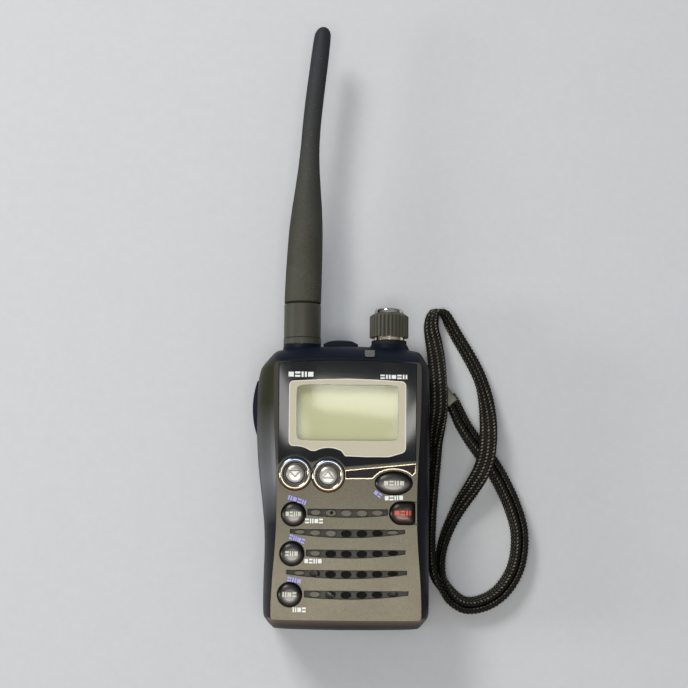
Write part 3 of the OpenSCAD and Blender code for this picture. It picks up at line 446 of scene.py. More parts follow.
M = {
    "front": surface("front_paint", (0.138, 0.121, 0.082), 0.40, 0.0, grain=12, bump=0.2, tint=0.04,
                     soft=0.16, wear=0.2, zones=front_zones),
    "rear": surface("rear_plastic", (0.0125, 0.0125, 0.014), 0.42, grain=5, bump=0.35, soft=0.25, wear=0.2,
                    spec=0.25),
    "pack": surface("pack_plastic", (0.011, 0.011, 0.0125), 0.45, grain=5, bump=0.35, soft=0.25, wear=0.2,
                    spec=0.3),
    "lens": lens_material(),
    "lcd": surface("lcd_glass", (0.69, 0.655, 0.415), 0.35, grain=9, bump=0.0, tint=0.03, spread=0.05,
                   ior=1.4, spec=0.2),
    "holder": surface("lcd_frame", (0.60, 0.57, 0.42), 0.55, grain=3, bump=0.1, soft=0.1),
    "chrome": surface("chrome_plate", (0.62, 0.59, 0.54), 0.08, 1.0, grain=2, bump=0.02, tint=0.05,
                      spread=0.04, soft=0.05),
    "ring": surface("bronze_chrome", (0.60, 0.55, 0.44), 0.15, 1.0, grain=2, bump=0.02, tint=0.05,
                    spread=0.04, soft=0.05, crevice=0.7, zones=ring_zones),
    "symbol": surface("silver_symbol", (0.80, 0.78, 0.72), 0.45, 0.3, grain=5, bump=0.04, tint=0.08),
    "symbol_shadow_edge": surface("symbol_shadow", (0.19, 0.178, 0.162), 0.5, 0.3, grain=5, bump=0.04, tint=0.08),
    "strip": surface("pale_gold_plate", (0.62, 0.54, 0.38), 0.24, 1.0, grain=2, bump=0.02, tint=0.05,
                     spread=0.04, soft=0.04),
    "collarring": surface("warm_chrome", (0.80, 0.72, 0.55), 0.12, 1.0, grain=2, bump=0.02, tint=0.05,
                          spread=0.04, soft=0.05),
    "inlay": surface("gloss_inlay", (0.010, 0.005, 0.006), 0.05, grain=2, bump=0.02, spread=0.03, soft=0.05,
                     coat=0.5),
    "light": surface("light_guide", (0.105, 0.105, 0.088), 0.3, grain=3, bump=0.05, tint=0.1, soft=0.1,
                     zones=light_zones),
    "pad": surface("grille_paint", (0.088, 0.079, 0.055), 0.42, 0.3, grain=10, bump=0.2, tint=0.06,
                   soft=0.08),
    "silver": surface("silver_lacquer", (0.52, 0.495, 0.45), 0.36, 0.9, grain=5, bump=0.06, tint=0.1,
                      soft=0.12, crevice=0.6, zones=shaded_dome_zones(0.67, 0.85, 0.05, 0.76, 1.28)),
    "key": surface("gloss_black", (0.108, 0.100, 0.093), 0.34, 0.7, grain=3, bump=0.03, spread=0.06,
                   soft=0.12, coat=0.1, crevice=0.5, zones=shaded_dome_zones(0.88, 0.985, 0.22, 0.5, 1.9)),
    "powerkey": surface("power_black", (0.062, 0.040, 0.033), 0.34, 0.6, grain=3, bump=0.03, spread=0.06,
                        soft=0.14, coat=0.1, crevice=0.5, zones=shaded_dome_zones(0.88, 0.985, 0.22, 0.5, 1.9)),
    "black": surface("satin_rubber", (0.007, 0.007, 0.0085), 0.6, grain=4, bump=0.3, soft=0.15, spec=0.2),
    "ptt": surface("talk_rubber", (0.0060, 0.0090, 0.0185), 0.5, grain=4, bump=0.3, soft=0.5, spec=0.1),
    "antenna": surface("antenna_rubber", (0.054, 0.052, 0.042), 0.62, grain=2.5, bump=0.25, tint=0.32,
                       spread=0.12, specks=0.4, soft=0.1, zones=whip_zones),
    "collar": surface("collar_plastic", (0.048, 0.047, 0.034), 0.42, grain=4, bump=0.2, tint=0.15, soft=0.15,
                      specks=0.25, spec=0.35),
    "grip": surface("dial_rubber", (0.062, 0.060, 0.040), 0.45, grain=4, bump=0.3, tint=0.25, soft=0.16,
                    wear=0.4, crevice=0.8, spec=0.4),
    "olive": surface("flap_rubber", (0.0025, 0.0055, 0.0125), 0.55, grain=4, bump=0.3, tint=0.2, soft=0.3,
                     spec=0.1),
    "gold": surface("gold_plate", (0.70, 0.50, 0.20), 0.25, 1.0, grain=3, bump=0.05, soft=0.05),
    "copper": surface("copper_wire", (0.55, 0.25, 0.12), 0.3, 1.0, grain=3, bump=0.05),
    "steel": surface("steel", (0.42, 0.42, 0.43), 0.35, 1.0, grain=2, bump=0.1, stretch=(0.1, 1, 1),
                     soft=0.08),
    "board": surface("solder_mask", (0.012, 0.09, 0.03), 0.35, grain=2, bump=0.15, tint=0.3, soft=0.05),
    "darkboard": surface("black_solder_mask", (0.006, 0.007, 0.0065), 0.4, grain=2, bump=0.15, tint=0.3,
                         soft=0.05),
    "cream": surface("cream_moulding", (0.6, 0.55, 0.42), 0.5, grain=3, bump=0.1, soft=0.1),
    "cone": surface("speaker_cone", (0.02, 0.02, 0.021), 0.6, grain=5, bump=0.3, soft=0.1),
    "felt": surface("felt", (0.006, 0.006, 0.006), 0.95, grain=7, bump=0.8, tint=0.4, sheen=0.1),
    "darkrubber": surface("dark_silicone", (0.02, 0.02, 0.019), 0.5, grain=3, bump=0.1, soft=0.2),
    "wrap": surface("cell_wrap", (0.04, 0.11, 0.25), 0.3, grain=1.5, bump=0.1, tint=0.15, soft=0.3),
    "ferrule": surface("ferrule_plastic", (0.165, 0.160, 0.115), 0.42, grain=4, bump=0.25, tint=0.15,
                       soft=0.3, wear=0.8),
    "braid": braid_material(),
    "print": surface("printed_frame", (0.47, 0.43, 0.315), 0.18, grain=6, bump=0.0, tint=0.05, spread=0.04),
    "rim": surface("printed_rim", (0.72, 0.70, 0.58), 0.18, grain=6, bump=0.0, tint=0.05, spread=0.04),
    "cream_ink": surface("cream_print", (0.56, 0.56, 0.47), 0.45, grain=6, bump=0.0, tint=0.08, spread=0.05),
    "white": surface("white_print", (0.78, 0.78, 0.74), 0.45, grain=6, bump=0.0, tint=0.08, spread=0.05),
    "lilac": surface("lilac_print", (0.32, 0.31, 0.74), 0.45, grain=6, bump=0.0, tint=0.08, spread=0.05),
    "red": surface("red_print", (0.60, 0.075, 0.03), 0.4, grain=6, bump=0.0, tint=0.1, spread=0.05),
}

NODES_OF = {
    "front": "front_case", "rear": "rear_case", "lens": "display_lens", "lcd": "lcd_panel",
    "holder": "lcd_holder", "ring": "trim_ring", "strip": "trim_strip", "inlay": "trim_inlay",
    "light": "status_light_pipe", "cone": "speaker microphone", "felt": "speaker_felt",
    "darkboard": "logic_board", "cream": "board_connector", "darkrubber": "keypad_membrane",
    "board": "main_board side_switch_board battery_board",
    "steel": "shield_cans dome_switches antenna_jack_nut encoder_body encoder_nut case_screws board_screws"
             " strap_post dial_shaft",
    "gold": "antenna_jack battery_terminals antenna_plug battery_contacts",
    "black": "microphone_boot dial_seal headset_jack case_gasket battery_release strap_lanyard",
    "grip": "dial_grip", "chrome": "dial_cap", "collarring": "dial_ring", "silver": "down_key up_key",
    "key": "call_key memory_key squelch_key band_key", "powerkey": "power_key", "ptt": "ptt_button",
    "collar": "antenna_seal antenna_collar", "antenna": "antenna_sheath", "copper": "antenna_coil",
    "pack": "battery_case battery_lid", "wrap": "battery_cell", "olive": "jack_cover", "braid": "wrist_strap",
    "ferrule": "strap_ferrule",
}
MATERIAL_OF = {node: material for material, nodes in NODES_OF.items() for node in nodes.split()}
SEAM_GAP, SHARP_ANGLE = 2e-6, 28      # metres that seams are closed over, degrees that stay sharp


def smooth_shaded(obj):
    """Shades smooth except over sharp edges, after closing the seams between faces."""
    me = obj.data
    for a in ("custom_normal", "sharp_edge", "sharp_face"):
        if a in me.attributes:
            me.attributes.remove(me.attributes[a])
    me.polygons.foreach_set("use_smooth", [True] * len(me.polygons))
    obj.modifiers.new("Weld", "WELD").merge_threshold = SEAM_GAP
    obj.modifiers.new("Split", "EDGE_SPLIT").split_angle = math.radians(SHARP_ANGLE)


for name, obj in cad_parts.items():
    obj.data.materials.clear()
    obj.data.materials.append(M[MATERIAL_OF[name]])
    smooth_shaded(obj)


def mesh_object(name, verts, faces, mat, body, smooth=True):
    """A piece of the object, from vertices in metres."""
    me = bpy.data.meshes.new(name)
    me.from_pydata([tuple(v) for v in verts], [], faces)
    me.validate()
    me.polygons.foreach_set("use_smooth", [smooth] * len(me.polygons))
    me.materials.append(mat)
    o = bpy.data.objects.new(name, me)
    scene.collection.objects.link(o)
    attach(o, body)
    return o


def tube_faces(rows, cols):
    """Faces of a closed tube of rows rings with cols points each."""
    f = [(j * cols + i, j * cols + (i + 1) % cols, (j + 1) * cols + (i + 1) % cols, (j + 1) * cols + i)
         for j in range(rows - 1) for i in range(cols)]
    return f + [tuple(range(cols))[::-1], tuple((rows - 1) * cols + i for i in range(cols))]


def circle(cols):
    return [2 * math.pi * i / cols for i in range(cols)]


# ---------------------------------------------------------------- wrist strap
# the band's width, thickness and edge radius, the distance of its two layers where doubled, and their lean
BAND_W, BAND_T, BAND_R, GAP, LEAN = 5.2, 1.6, 0.62, 2.0, 18
ROWS, STITCH = 14, 1.02               # rows of stitches round the band, and millimetres per stitch
BAND_COLS, BAND_PER_MM = 80, 5        # points round the band and along it
PLUMP, FURROW = 0.10, 0.04            # millimetres that stitches and rows stand proud
CLEARANCE = 0.05                      # under the band where it lies
# the route in millimetres: x, y where doubled, then x, y, height of its middle (0 where it lies) and lean
DOUBLED = [(30.05, 27.6), (31.5, 25.2), (34, 19.8), (37, 15), (40.2, 10.8), (43.2, 6.6), (46.4, 0.8),
           (49, -5.2), (50.8, -12), (50.6, -19), (48.8, -24.8), (45, -30), (40, -33), (35, -33.6),
           (31.2, -31.4)]
UPWARD = [(28.3, -29.4, 0, -5), (26.4, -26.4, 0, 8), (25.3, -22.6, 0, 10), (25, -17, 0, 10), (25, -11, 0, 12),
          (25.3, -4, 0, 15), (25.7, 2.4, 0, 20), (26.1, 8.5, 0, 25), (26.2, 13.7, 0, 38),
          (26.5, 18.5, 4.8, 60), (26.85, 23.2, 7.1, 78), (26.8, 28, 7.7, 84), (26.5, 33, 7.4, 83),
          (26.2, 38, 5.6, 74), (25.6, 43, 3.6, 60), (24.8, 48.4, 0, 44), (25.5, 52, 0, 32),
          (27.2, 52.9, 0, 6), (28.9, 52, 0, -14)]
DOWNWARD = [(30.2, 49.8, 0, -22), (32.2, 46, 0, -26), (34.6, 42, 0, -28), (36.9, 38, 0, -30),
            (38.9, 34, 0, -30), (40.3, 30, 0, -34), (41.2, 25, 3.6, -48), (41.5, 19.5, 6, -66),
            (41.3, 14, 7.4, -78), (40.6, 9, 7.6, -80), (39.1, 4.8, 7.3, -76), (36.6, 0.4, 5.6, -60),
            (33.8, -4, 3.8, -44), (31.3, -8.6, 0, -30), (29.3, -13.2, 0, -24), (28, -18, 0, -18),
            (27.9, -22.6, 0, -10), (28.9, -26.4, 0, 2)]


def layer(side):
    """One of the two layers of the doubled stretch. Its lean grows over the first four steps."""
    out = []
    for i, at in enumerate(DOUBLED):
        a, b = DOUBLED[max(i - 1, 0)], DOUBLED[min(i + 1, len(DOUBLED) - 1)]
        d = np.array([b[0] - a[0], b[1] - a[1]])
        x, y = np.array(at) + side * GAP / 2 * (np.array([-d[1], d[0]]) / np.hypot(*d))
        out.append((x, y, 0, -side * LEAN * min(i, 4) / 4))
    return out


def rest_height(lean):
    """The height of the middle of the band where it lies on its edge, leaning by so many degrees."""
    t = math.radians(lean)
    return BAND_W / 2 * abs(math.cos(t)) + BAND_T / 2 * abs(math.sin(t)) + CLEARANCE


def catmull(p, per_mm):
    """Smooth curve through the points, with about per_mm samples to the millimetre."""
    p = np.array(p, float)
    q = np.vstack([2 * p[0] - p[1], p, 2 * p[-1] - p[-2]])
    out = []
    for i in range(1, len(q) - 2):
        k = max(2, int(np.linalg.norm(q[i + 1][:3] - q[i][:3]) * per_mm))
        for t in np.arange(k) / k:
            out.append(0.5 * (2 * q[i] + (q[i + 1] - q[i - 1]) * t
                              + (2 * q[i - 1] - 5 * q[i] + 4 * q[i + 1] - q[i + 2]) * t ** 2
                              + (3 * q[i] - q[i - 1] - 3 * q[i + 1] + q[i + 2]) * t ** 3))
    out.append(p[-1])
    return np.array(out)


def band_section():
    """The band's rounded cross-section, evenly spaced: points, outward normals, shares of the way round."""
    half_w, half_t, bend = BAND_W / 2 - BAND_R, BAND_T / 2 - BAND_R, math.pi * BAND_R / 2
    corners = [np.array([x * half_w, y * half_t]) for x, y in ((1, 1), (-1, 1), (-1, -1), (1, -1))]
    sides = [2 * half_w, bend, 2 * half_t, bend] * 2
    total, points, normals = sum(sides), [], []
    for k in range(BAND_COLS):
        rest, e = k / BAND_COLS * total, 0
        while rest > sides[e]:
            rest -= sides[e]
            e += 1
        start, end, share = corners[e // 2], corners[(e // 2 + 1) % 4], rest / sides[e]
        straight = e % 2 == 0
        angle = math.radians(90 * (e // 2 + 1) + (0 if straight else 90 * share))
        normal = np.array([math.cos(angle), math.sin(angle)])
        points.append((start + (end - start) * share if straight else end) + normal * BAND_R)
        normals.append(normal)
    return np.array(points), np.array(normals), np.arange(BAND_COLS) / BAND_COLS


def strap():
    """The braided band: doubled from the ferrule, up, back down, doubled again. Returns it and its path."""
    route = [(x, y, z or rest_height(t), t) for x, y, z, t in layer(1) + UPWARD + DOWNWARD + layer(-1)[::-1]]
    c = catmull(route, BAND_PER_MM)
    n = len(c)
    d = np.gradient(c[:, :2], axis=0)
    d /= np.linalg.norm(d, axis=1)[:, None]
    sideways, lean = np.stack([-d[:, 1], d[:, 0]], 1), np.radians(c[:, 3])
    sin, cos = np.sin(lean), np.cos(lean)
    wide = np.stack([-sideways[:, 0] * sin, -sideways[:, 1] * sin, cos], 1)
    thick = np.stack([sideways[:, 0] * cos, sideways[:, 1] * cos, sin], 1)
    s = np.concatenate([[0], np.cumsum(np.linalg.norm(np.diff(c[:, :3], axis=0), axis=1))])
    points, normals, round_share = band_section()
    # rows of plump stitches round the band, every other row shifted by half a stitch
    v = round_share * ROWS
    row = np.floor(v)
    u = s[:, None] / STITCH + 0.05 * np.sin(s[:, None] * 0.9 + row[None, :] * 1.7)
    proud = (PLUMP * np.cos(2 * math.pi * (u + 0.5 * (row % 2)[None, :]))
             - FURROW * np.cos(2 * math.pi * v)[None, :])
    across, through = (points[None, :, k] + proud * normals[None, :, k] for k in (0, 1))
    verts = c[:, None, :3] + wide[:, None, :] * across[:, :, None] + thick[:, None, :] * through[:, :, None]
    verts[:, :, 2] = np.maximum(verts[:, :, 2], 0.02)
    o = mesh_object("strap_braid", (verts.reshape(-1, 3) * MM).tolist(), tube_faces(n, BAND_COLS), M["braid"],
                    "radio")
    uv = np.zeros((len(o.data.loops), 2), np.float32)
    quads = (n - 1) * BAND_COLS
    j, i = np.divmod(np.arange(quads), BAND_COLS)
    stitches, rows = s / STITCH, np.append(v, ROWS)
    for k, (dj, di) in enumerate(((0, 0), (0, 1), (1, 1), (1, 0))):
        uv[k:quads * 4:4, 0] = stitches[j + dj]
        uv[k:quads * 4:4, 1] = rows[i + di]
    o.data.uv_layers.new(name="stitches").data.foreach_set("uv", uv.reshape(-1))
    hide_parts("wrist_strap")
    return o, c[::5, :3] * MM


def ferrule():
    """Crimped sleeve with rounded corners and two pinched grooves."""
    at, to, length = np.array([31.05, 25.4]), np.array([-0.62, 0.785]), 7.8
    half_x, half_z, middle_z, power = 1.95, 2.83, 2.9, 0.38
    side = np.array([-to[1], to[0]])
    verts, rows, cols = [], 34, 48
    for j in range(rows):
        v = j / (rows - 1)
        full = min(1.0, 0.72 + 0.9 * min(v, 1 - v) * 6)
        pinch = 1 - sum(0.10 * math.exp(-((v - groove) / 0.05) ** 2) for groove in (0.3, 0.7))
        for a in circle(cols):
            cx = math.copysign(abs(math.cos(a)) ** power, math.cos(a)) * half_x * pinch * (0.9 + 0.1 * full)
            cz = math.copysign(abs(math.sin(a)) ** power, math.sin(a)) * half_z * (0.93 + 0.07 * full)
            x, y = at + to * length * v + side * cx
            verts.append((x * MM, y * MM, (middle_z + cz) * MM))
    o = mesh_object("strap_ferrule_sleeve", verts, tube_faces(rows, cols), M["ferrule"], "radio")
    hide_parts("strap_ferrule")
    return o


def lanyard():
    """Thin twisted cord from the ferrule round the post and back."""
    height, radius, strand, twist, cols = 4.3, 0.50, 0.06, 0.22, 18
    route = [(26.2, 31.4), (24.6, 31.9), (23, 31.9), (21.4, 31.75), (20.3, 32.5), (20.05, 33.5), (20.5, 34.5),
             (21.5, 34.95), (22.9, 34.5), (24.6, 33.6), (26, 32.7), (27, 32)]
    c = catmull([(x, y, height) for x, y in route], 9)
    d = np.gradient(c, axis=0)
    d /= np.linalg.norm(d, axis=1)[:, None]
    up = np.array([0, 0, 1.0])
    side = np.cross(d, up)
    verts = []
    for j in range(len(c)):
        for a in circle(cols):
            r = radius + strand * abs(math.cos(1.5 * (a + j * twist)))
            verts.append(tuple((c[j] + r * (side[j] * math.cos(a) + up * math.sin(a))) * MM))
    o = mesh_object("strap_lanyard_cord", verts, tube_faces(len(c), cols), M["black"], "radio")
    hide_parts("strap_lanyard")
    return o


band, band_path = strap()
sleeve, thin = ferrule(), lanyard()


# ---------------------------------------------------------------- antenna
ANTENNA_X, ANTENNA_Z = -13.3, 15
# the sheath in millimetres: y, how far it bends to the right, radius
WHIP = [(53.1, 0, 4.85), (53.35, 0, 5.2), (53.8, 0.03, 5.33), (60, 0.2, 5.3), (68, 0.45, 5.15),
        (75, 0.7, 4.9), (79, 0.86, 4.6), (82, 0.98, 4.35), (85, 1.08, 4), (89, 1.22, 3.6), (93, 1.36, 3.2),
        (97, 1.52, 2.92), (101, 1.72, 2.75), (106, 2.05, 2.7), (112, 2.6, 2.7), (118, 3.25, 2.68),
        (124, 3.95, 2.65), (129, 4.5, 2.6), (132.5, 4.9, 2.5), (134.4, 5.1, 2.25), (135.6, 5.2, 1.55),
        (136.15, 5.25, 0.7), (136.25, 5.26, 0.1)]


def antenna():
    """The bent rubber sheath with its rounded tip."""
    cols, verts = 72, []
    c = catmull(WHIP, 2.5)
    for y, bend, r in c:
        r = max(r, 0.05)
        for a in circle(cols):
            x, z = ANTENNA_X + bend + r * math.cos(-a), ANTENNA_Z + r * math.sin(-a)
            verts.append((x * MM, y * MM, z * MM))
    faces = tube_faces(len(c), cols)
    o = mesh_object("antenna_whip", verts, faces, M["antenna"], "antenna")
    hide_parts("antenna_sheath")


antenna()


# ---------------------------------------------------------------- prints and raised marks
def arc(centre, r, a0, a1, n):
    angles = [math.radians(a0 + (a1 - a0) * i / n) for i in range(n + 1)]
    return [(centre[0] + r * math.cos(a), centre[1] + r * math.sin(a)) for a in angles]


ABOVE, NO_HIT_Z = 0.05, 0.028         # metres: where rays start, and the height where they meet nothing
TREES = {}


def top_of(node, x, y):
    """The height in metres of the node's surface seen from above at x, y in millimetres."""
    if node not in TREES:
        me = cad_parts[node].data
        corners, faces = [v.co[:] for v in me.vertices], [p.vertices[:] for p in me.polygons]
        TREES[node] = BVHTree.FromPolygons(corners, faces)
    hit = TREES[node].ray_cast(Vector((x * MM, y * MM, ABOVE)), Vector((0, 0, -1)))[0]
    return hit.z if hit else NO_HIT_Z


def decal(name, quads, node, body, mat, slot, lift):
    """Lays quads, in millimetres, on top of a node, lift millimetres above it."""
    verts = [(x * MM, y * MM, top_of(node, x, y) + lift * MM) for quad in quads for x, y in quad]
    faces = [tuple(range(k, k + 4)) for k in range(0, len(verts), 4)]
    mesh_object(name, verts, faces, mat, body, smooth=False)


# the blocks of three abstract signs in a unit square: x0, y0, x1, y1
GLYPHS = [[(0, 0.16, 1, 0.84)], [(0, 0.12, 1, 0.4), (0, 0.6, 1, 0.88)],
          [(0, 0.12, 0.38, 0.88), (0.62, 0.12, 1, 0.88)]]
MARK_CELL, MARK_GAP = 0.3, 0.2        # the size of a mark's quads, and the gap as a share of a sign's width


def marks(x, y, width, height, count, turn=0.0, seed=0):
    """A row of small abstract signs centred on x, y: a generic stand-in for a legend."""
    out, gap = [], MARK_GAP * width / count
    w = (width - gap * (count - 1)) / count
    cos, sin = math.cos(math.radians(turn)), math.sin(math.radians(turn))
    for i in range(count):
        start = -width / 2 + i * (w + gap)
        for x0, y0, x1, y1 in GLYPHS[(i + seed) % len(GLYPHS)]:
            nx = max(1, round((x1 - x0) * w / MARK_CELL))
            ny = max(1, round((y1 - y0) * height / MARK_CELL))
            for a in range(nx):
                for b in range(ny):
                    quad = []
                    for u, v in ((a, b), (a + 1, b), (a + 1, b + 1), (a, b + 1)):
                        px = start + (x0 + (x1 - x0) * u / nx) * w
                        py = (y0 + (y1 - y0) * v / ny - 0.5) * height
                        quad.append((x + px * cos - py * sin, y + px * sin + py * cos))
                    out.append(quad)
    return out


# the grille in millimetres, as in part.scad: half the length of each slot, the columns whose holes are blind,
# the columns' pitch, the first slot's middle and the slots' pitch
SLOT_REACH = (16, 16.3, 16.9, 17.2, 17.7)
BLIND = ((-2, -1, 0, 1, 2), (-3, -2, -1, 3), (-2,), (-3,), (-2,))
COLUMN_PITCH, FIRST_SLOT_Y, SLOT_PITCH = 4.35, -6.55, 5.68
PAD_HALF_X, PAD_TOP_HALF_X, PAD_LOW_Z, PAD_SHOULDER_Z, PAD_TOP_Z = 1.53, 1.32, 27.0, 27.38, 27.5
MIC_PAD, MIC_AT, MIC_R, MIC_LOW_Z = (0, -1), (-4.25, -7.6), 0.5, 26.7


def grille_pads():
    """Raised ovals that close the grille's blind holes; the one over the microphone keeps its bore."""
    verts, faces, seg = [], [], 28
    for i, columns in enumerate(BLIND):
        for k in columns:
            x = COLUMN_PITCH * k
            sag = 1.1 + 1.3 * (1 - (x / SLOT_REACH[i]) ** 2)
            y = FIRST_SLOT_Y - SLOT_PITCH * i - sag / 2
            half_y, first = min(1, sag / 2 - 0.125) + 0.03, len(verts)
            rings = [(x, y, PAD_HALF_X, half_y, PAD_LOW_Z), (x, y, PAD_HALF_X, half_y, PAD_SHOULDER_Z),
                     (x, y, PAD_TOP_HALF_X, half_y - 0.2, PAD_TOP_Z)]
            if (i, k) == MIC_PAD:
                rings += [(*MIC_AT, MIC_R, MIC_R, z) for z in (PAD_TOP_Z, MIC_LOW_Z)]
            for cx, cy, rx, ry, z in rings:
                verts += [((cx + rx * math.cos(a)) * MM, (cy + ry * math.sin(a)) * MM, z * MM)
                          for a in circle(seg)]
            for r in range(len(rings) - 1):
                low, high = first + r * seg, first + (r + 1) * seg
                faces += [(low + j, low + (j + 1) % seg, high + (j + 1) % seg, high + j) for j in range(seg)]
            if (i, k) != MIC_PAD:
                faces.append(tuple(first + 2 * seg + j for j in range(seg)))
    mesh_object("grille_pads", verts, faces, M["pad"], "radio", smooth=False)


def ring_quads(outer, inner):
    n = len(outer)
    return [[outer[i], outer[(i + 1) % n], inner[(i + 1) % n], inner[i]] for i in range(n)]


def inset(p, d):
    """The closed outline p moved inwards by d."""
    out = []
    for i in range(len(p)):
        a, b = np.array(p[i - 1]), np.array(p[(i + 1) % len(p)])
        t = (b - a) / np.linalg.norm(b - a)
        out.append((p[i][0] - t[1] * d, p[i][1] + t[0] * d))
    return out


DOWN_AT, UP_AT, KEY_CLEARANCE_R = (-14.6, 3.25), (-5.28, 2.82), 7.75
FRAME_OUTLINE = (arc((15.2, 28.2), 1.3, 0, 80, 5) + [(8, 29.9), (0, 30.15), (-8, 29.9)]
                 + arc((-15.2, 28.2), 1.3, 100, 180, 5) + [(-16.5, 20), (-16.5, 12.4)]
                 + arc((-15.2, 12.3), 1.3, 180, 250, 3) + arc(DOWN_AT, KEY_CLEARANCE_R, 84, 56, 5)
                 + arc(UP_AT, KEY_CLEARANCE_R, 118, 62, 8) + [(-0.6, 8.25), (5, 8.05), (11.8, 8.1)]
                 + arc((14.9, 10.7), 1.6, 290, 360, 4) + [(16.5, 20)])
FRAME_SUBDIVISION, CORNER_POWER, RIM_WIDTH = 6, 14, 0.22


def printed_frame():
    """Grey-beige mask printed behind the window round the display, with a light rim."""
    cx, cy, half_x, half_y = DISPLAY_WINDOW[:4]
    outer, inner = [], []
    for (ax, ay), (bx, by) in zip(FRAME_OUTLINE, FRAME_OUTLINE[1:] + FRAME_OUTLINE[:1]):
        for k in range(FRAME_SUBDIVISION):
            t = k / FRAME_SUBDIVISION
            x, y = ax + (bx - ax) * t, ay + (by - ay) * t
            dx, dy = x - cx, y - cy
            f = (abs(dx / half_x) ** CORNER_POWER + abs(dy / half_y) ** CORNER_POWER) ** (-1 / CORNER_POWER)
            outer.append((x, y))
            inner.append((cx + dx * f, cy + dy * f))
    on_lens = ("display_lens", "radio")
    decal("window_print", ring_quads(outer, inner), *on_lens, M["print"], "lens", 0.015)
    decal("window_print_rim", ring_quads(outer, inset(outer, RIM_WIDTH)), *on_lens, M["rim"], "lens", 0.025)


printed_frame()
grille_pads()


def legends():
    """Generic marks where the photo has lettering: x, y, width, height, count, turn and seed of each."""
    white, cream = M["white"], M["cream_ink"]
    decal("window_marks", marks(-13.25, 31.3, 7.0, 2.0, 4) + marks(13.0, 30.75, 7.6, 1.6, 5, 0, 1),
          "display_lens", "radio", white, "lens", 0.03)
    decal("panel_marks", marks(-9.13, -9.96, 5.0, 1.75, 4, 0, 1) + marks(-9.3, -21.1, 4.8, 1.75, 4, 0, 3)
          + marks(-13.0, -34.6, 3.7, 1.8, 3, 0, 2) + marks(13.2, -3.35, 5.1, 1.75, 4, 2),
          "front_case", "radio", white, "front_shell", 0.02)
    decal("panel_marks_lilac", marks(-13.96, -4.14, 5.2, 1.7, 4, -18, 2)
          + marks(-13.83, -15.0, 4.5, 1.7, 4, -19, 4) + marks(-14.5, -26.4, 3.9, 1.7, 3, -10, 1)
          + marks(8.7, -2.3, 2.3, 1.6, 2, -35, 3), "front_case", "radio", M["lilac"], "front_shell", 0.02)
    for key, x, y, width, count, ink in (
            ("call", -14.9, -8.05, 4.3, 4, cream), ("memory", -15.3, -19.1, 3.5, 3, cream),
            ("squelch", -15.75, -30.4, 3.9, 3, cream), ("band", 13.2, 0.75, 5.6, 4, cream),
            ("power", 15.7, -7.55, 4.6, 3, M["red"])):
        node = key + "_key"
        decal(key + "_mark", marks(x, y, width, 1.8, count, 0, count + len(node)), node, key + "_button", ink,
              "black_key", 0.03)


legends()


def key_symbol(key, at, points_down):
    """Raised triangle on a metal key, with sloping sides and a painted shadow round its edge."""
    k = -1 if points_down else 1
    out = [(-1.4, -0.72 * k), (1.4, -0.72 * k), (0, 0.95 * k)][::k]
    node, body = key + "_key", key + "_button"
    verts = []
    for size, height in ((1.0, -0.03), (0.85, 0.1), (0.5, 0.16)):
        for px, py in out:
            x, y = at[0] + px * size, at[1] + py * size
            verts.append((x * MM, y * MM, top_of(node, x, y) + height * MM))
    faces = [(j + i, j + (i + 1) % 3, j + 3 + (i + 1) % 3, j + 3 + i) for j in (0, 3) for i in range(3)]
    mesh_object(key + "_symbol", verts, faces + [(6, 7, 8)], M["symbol"], body, smooth=False)
    # a painted shadow: a dark band round the edge of the triangle
    rims = [[(at[0] + size * (a[0] + (b[0] - a[0]) * t / 6), at[1] + size * (a[1] + (b[1] - a[1]) * t / 6))
             for a, b in zip(out, out[1:] + out[:1]) for t in range(6)] for size in (1.3, 0.96)]
    decal(key + "_symbol_shadow_edge", ring_quads(*rims), node, body, M["symbol_shadow_edge"], "silver_key", 0.015)


key_symbol("down", DOWN_AT, True)
key_symbol("up", UP_AT, False)


# ---------------------------------------------------------------- floor and light
NEAR_SKY, FAR_SKY = (0.60, 0.48, 0.38), (0.10, 0.15, 0.23)
SIDE_SKY, OVERHEAD_SKY = (0.05, 0.055, 0.065), (0.37, 0.39, 0.41)
SKY_STRENGTH, FLOOR_HALF, FLOOR_Z = 0.9, 3.0, -0.0001
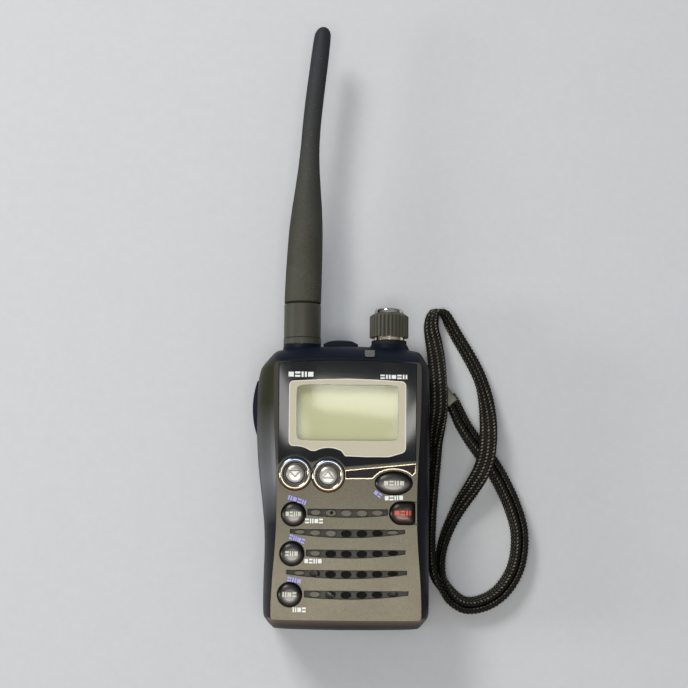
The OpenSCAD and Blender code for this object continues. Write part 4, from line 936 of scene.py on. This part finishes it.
# name, place, aim, size, watts, colour; the three weak glare lights make the soft shine on the window
LIGHTS = (
    ("overhead", (-0.02, -0.18, 1.0), (-0.02, -0.16, 0), (0.5, 0.38), 3.3, (1, 0.99, 0.96)),
    ("key", (-0.42, 0.66, 0.72), (0, 0.03, 0), (0.32, 0.32), 5.6, (1, 0.985, 0.96)),
    ("side", (-0.8, -0.03, 0.33), (-0.02, 0.01, 0.015), (0.2, 0.2), 2.2, (0.9, 0.95, 1)),
    ("glare", (0.012, 0.110, 1.0), (0.005, 0.045, 0), (0.076, 0.024), 0.058, (1, 1, 0.96)),
    ("glare_left", (-0.052, 0.104, 1.0), (-0.02, 0.045, 0), (0.024, 0.062), 0.030, (1, 0.99, 0.95)),
    ("glare_right", (0.060, 0.096, 1.0), (0.02, 0.045, 0), (0.014, 0.050), 0.018, (1, 0.99, 0.95)),
)


def sky():
    """Soft surroundings: cool and dim behind the far edge, warm in front of the near edge, pale overhead."""
    w = bpy.data.worlds.new("studio")
    w.use_nodes = True
    n, l = w.node_tree.nodes, w.node_tree.links
    x, y, z = xyz(n, l, n.new("ShaderNodeTexCoord").outputs["Generated"])
    around = mix_color(n, l, level(n, l, y, -0.5, 0.5), NEAR_SKY, FAR_SKY)
    flank = level(n, l, math_node(n, l, "ABSOLUTE", x), 0.35, 0.9, 0.0, 0.62)
    around = mix_color(n, l, flank, around, SIDE_SKY)
    l.new(mix_color(n, l, level(n, l, z, 0.25, 0.85), around, OVERHEAD_SKY), n["Background"].inputs[0])
    n["Background"].inputs[1].default_value = SKY_STRENGTH
    scene.world = w


def floor():
    me = bpy.data.meshes.new("floor")
    h, z = FLOOR_HALF, FLOOR_Z
    me.from_pydata([(-h, -h, z), (h, -h, z), (h, h, z), (-h, h, z)], [], [(0, 1, 2, 3)])
    me.materials.append(surface("floor_paper", (0.57, 0.58, 0.59), 0.85, grain=0.4, bump=0.1, tint=0.03))
    o = bpy.data.objects.new("floor", me)
    scene.collection.objects.link(o)


def light(name, place, aim, size, watts, colour):
    d = bpy.data.lights.new(name, "AREA")
    d.shape, d.size, d.size_y, d.energy, d.color = "RECTANGLE", *size, watts, colour
    o = bpy.data.objects.new(name, d)
    o.location = place
    o.rotation_mode = "QUATERNION"
    o.rotation_quaternion = (Vector(aim) - Vector(place)).to_track_quat("-Z", "Y")
    scene.collection.objects.link(o)


floor()
sky()
for row in LIGHTS:
    light(*row)

scene.view_settings.view_transform = "Standard"

bpy.context.view_layer.update()
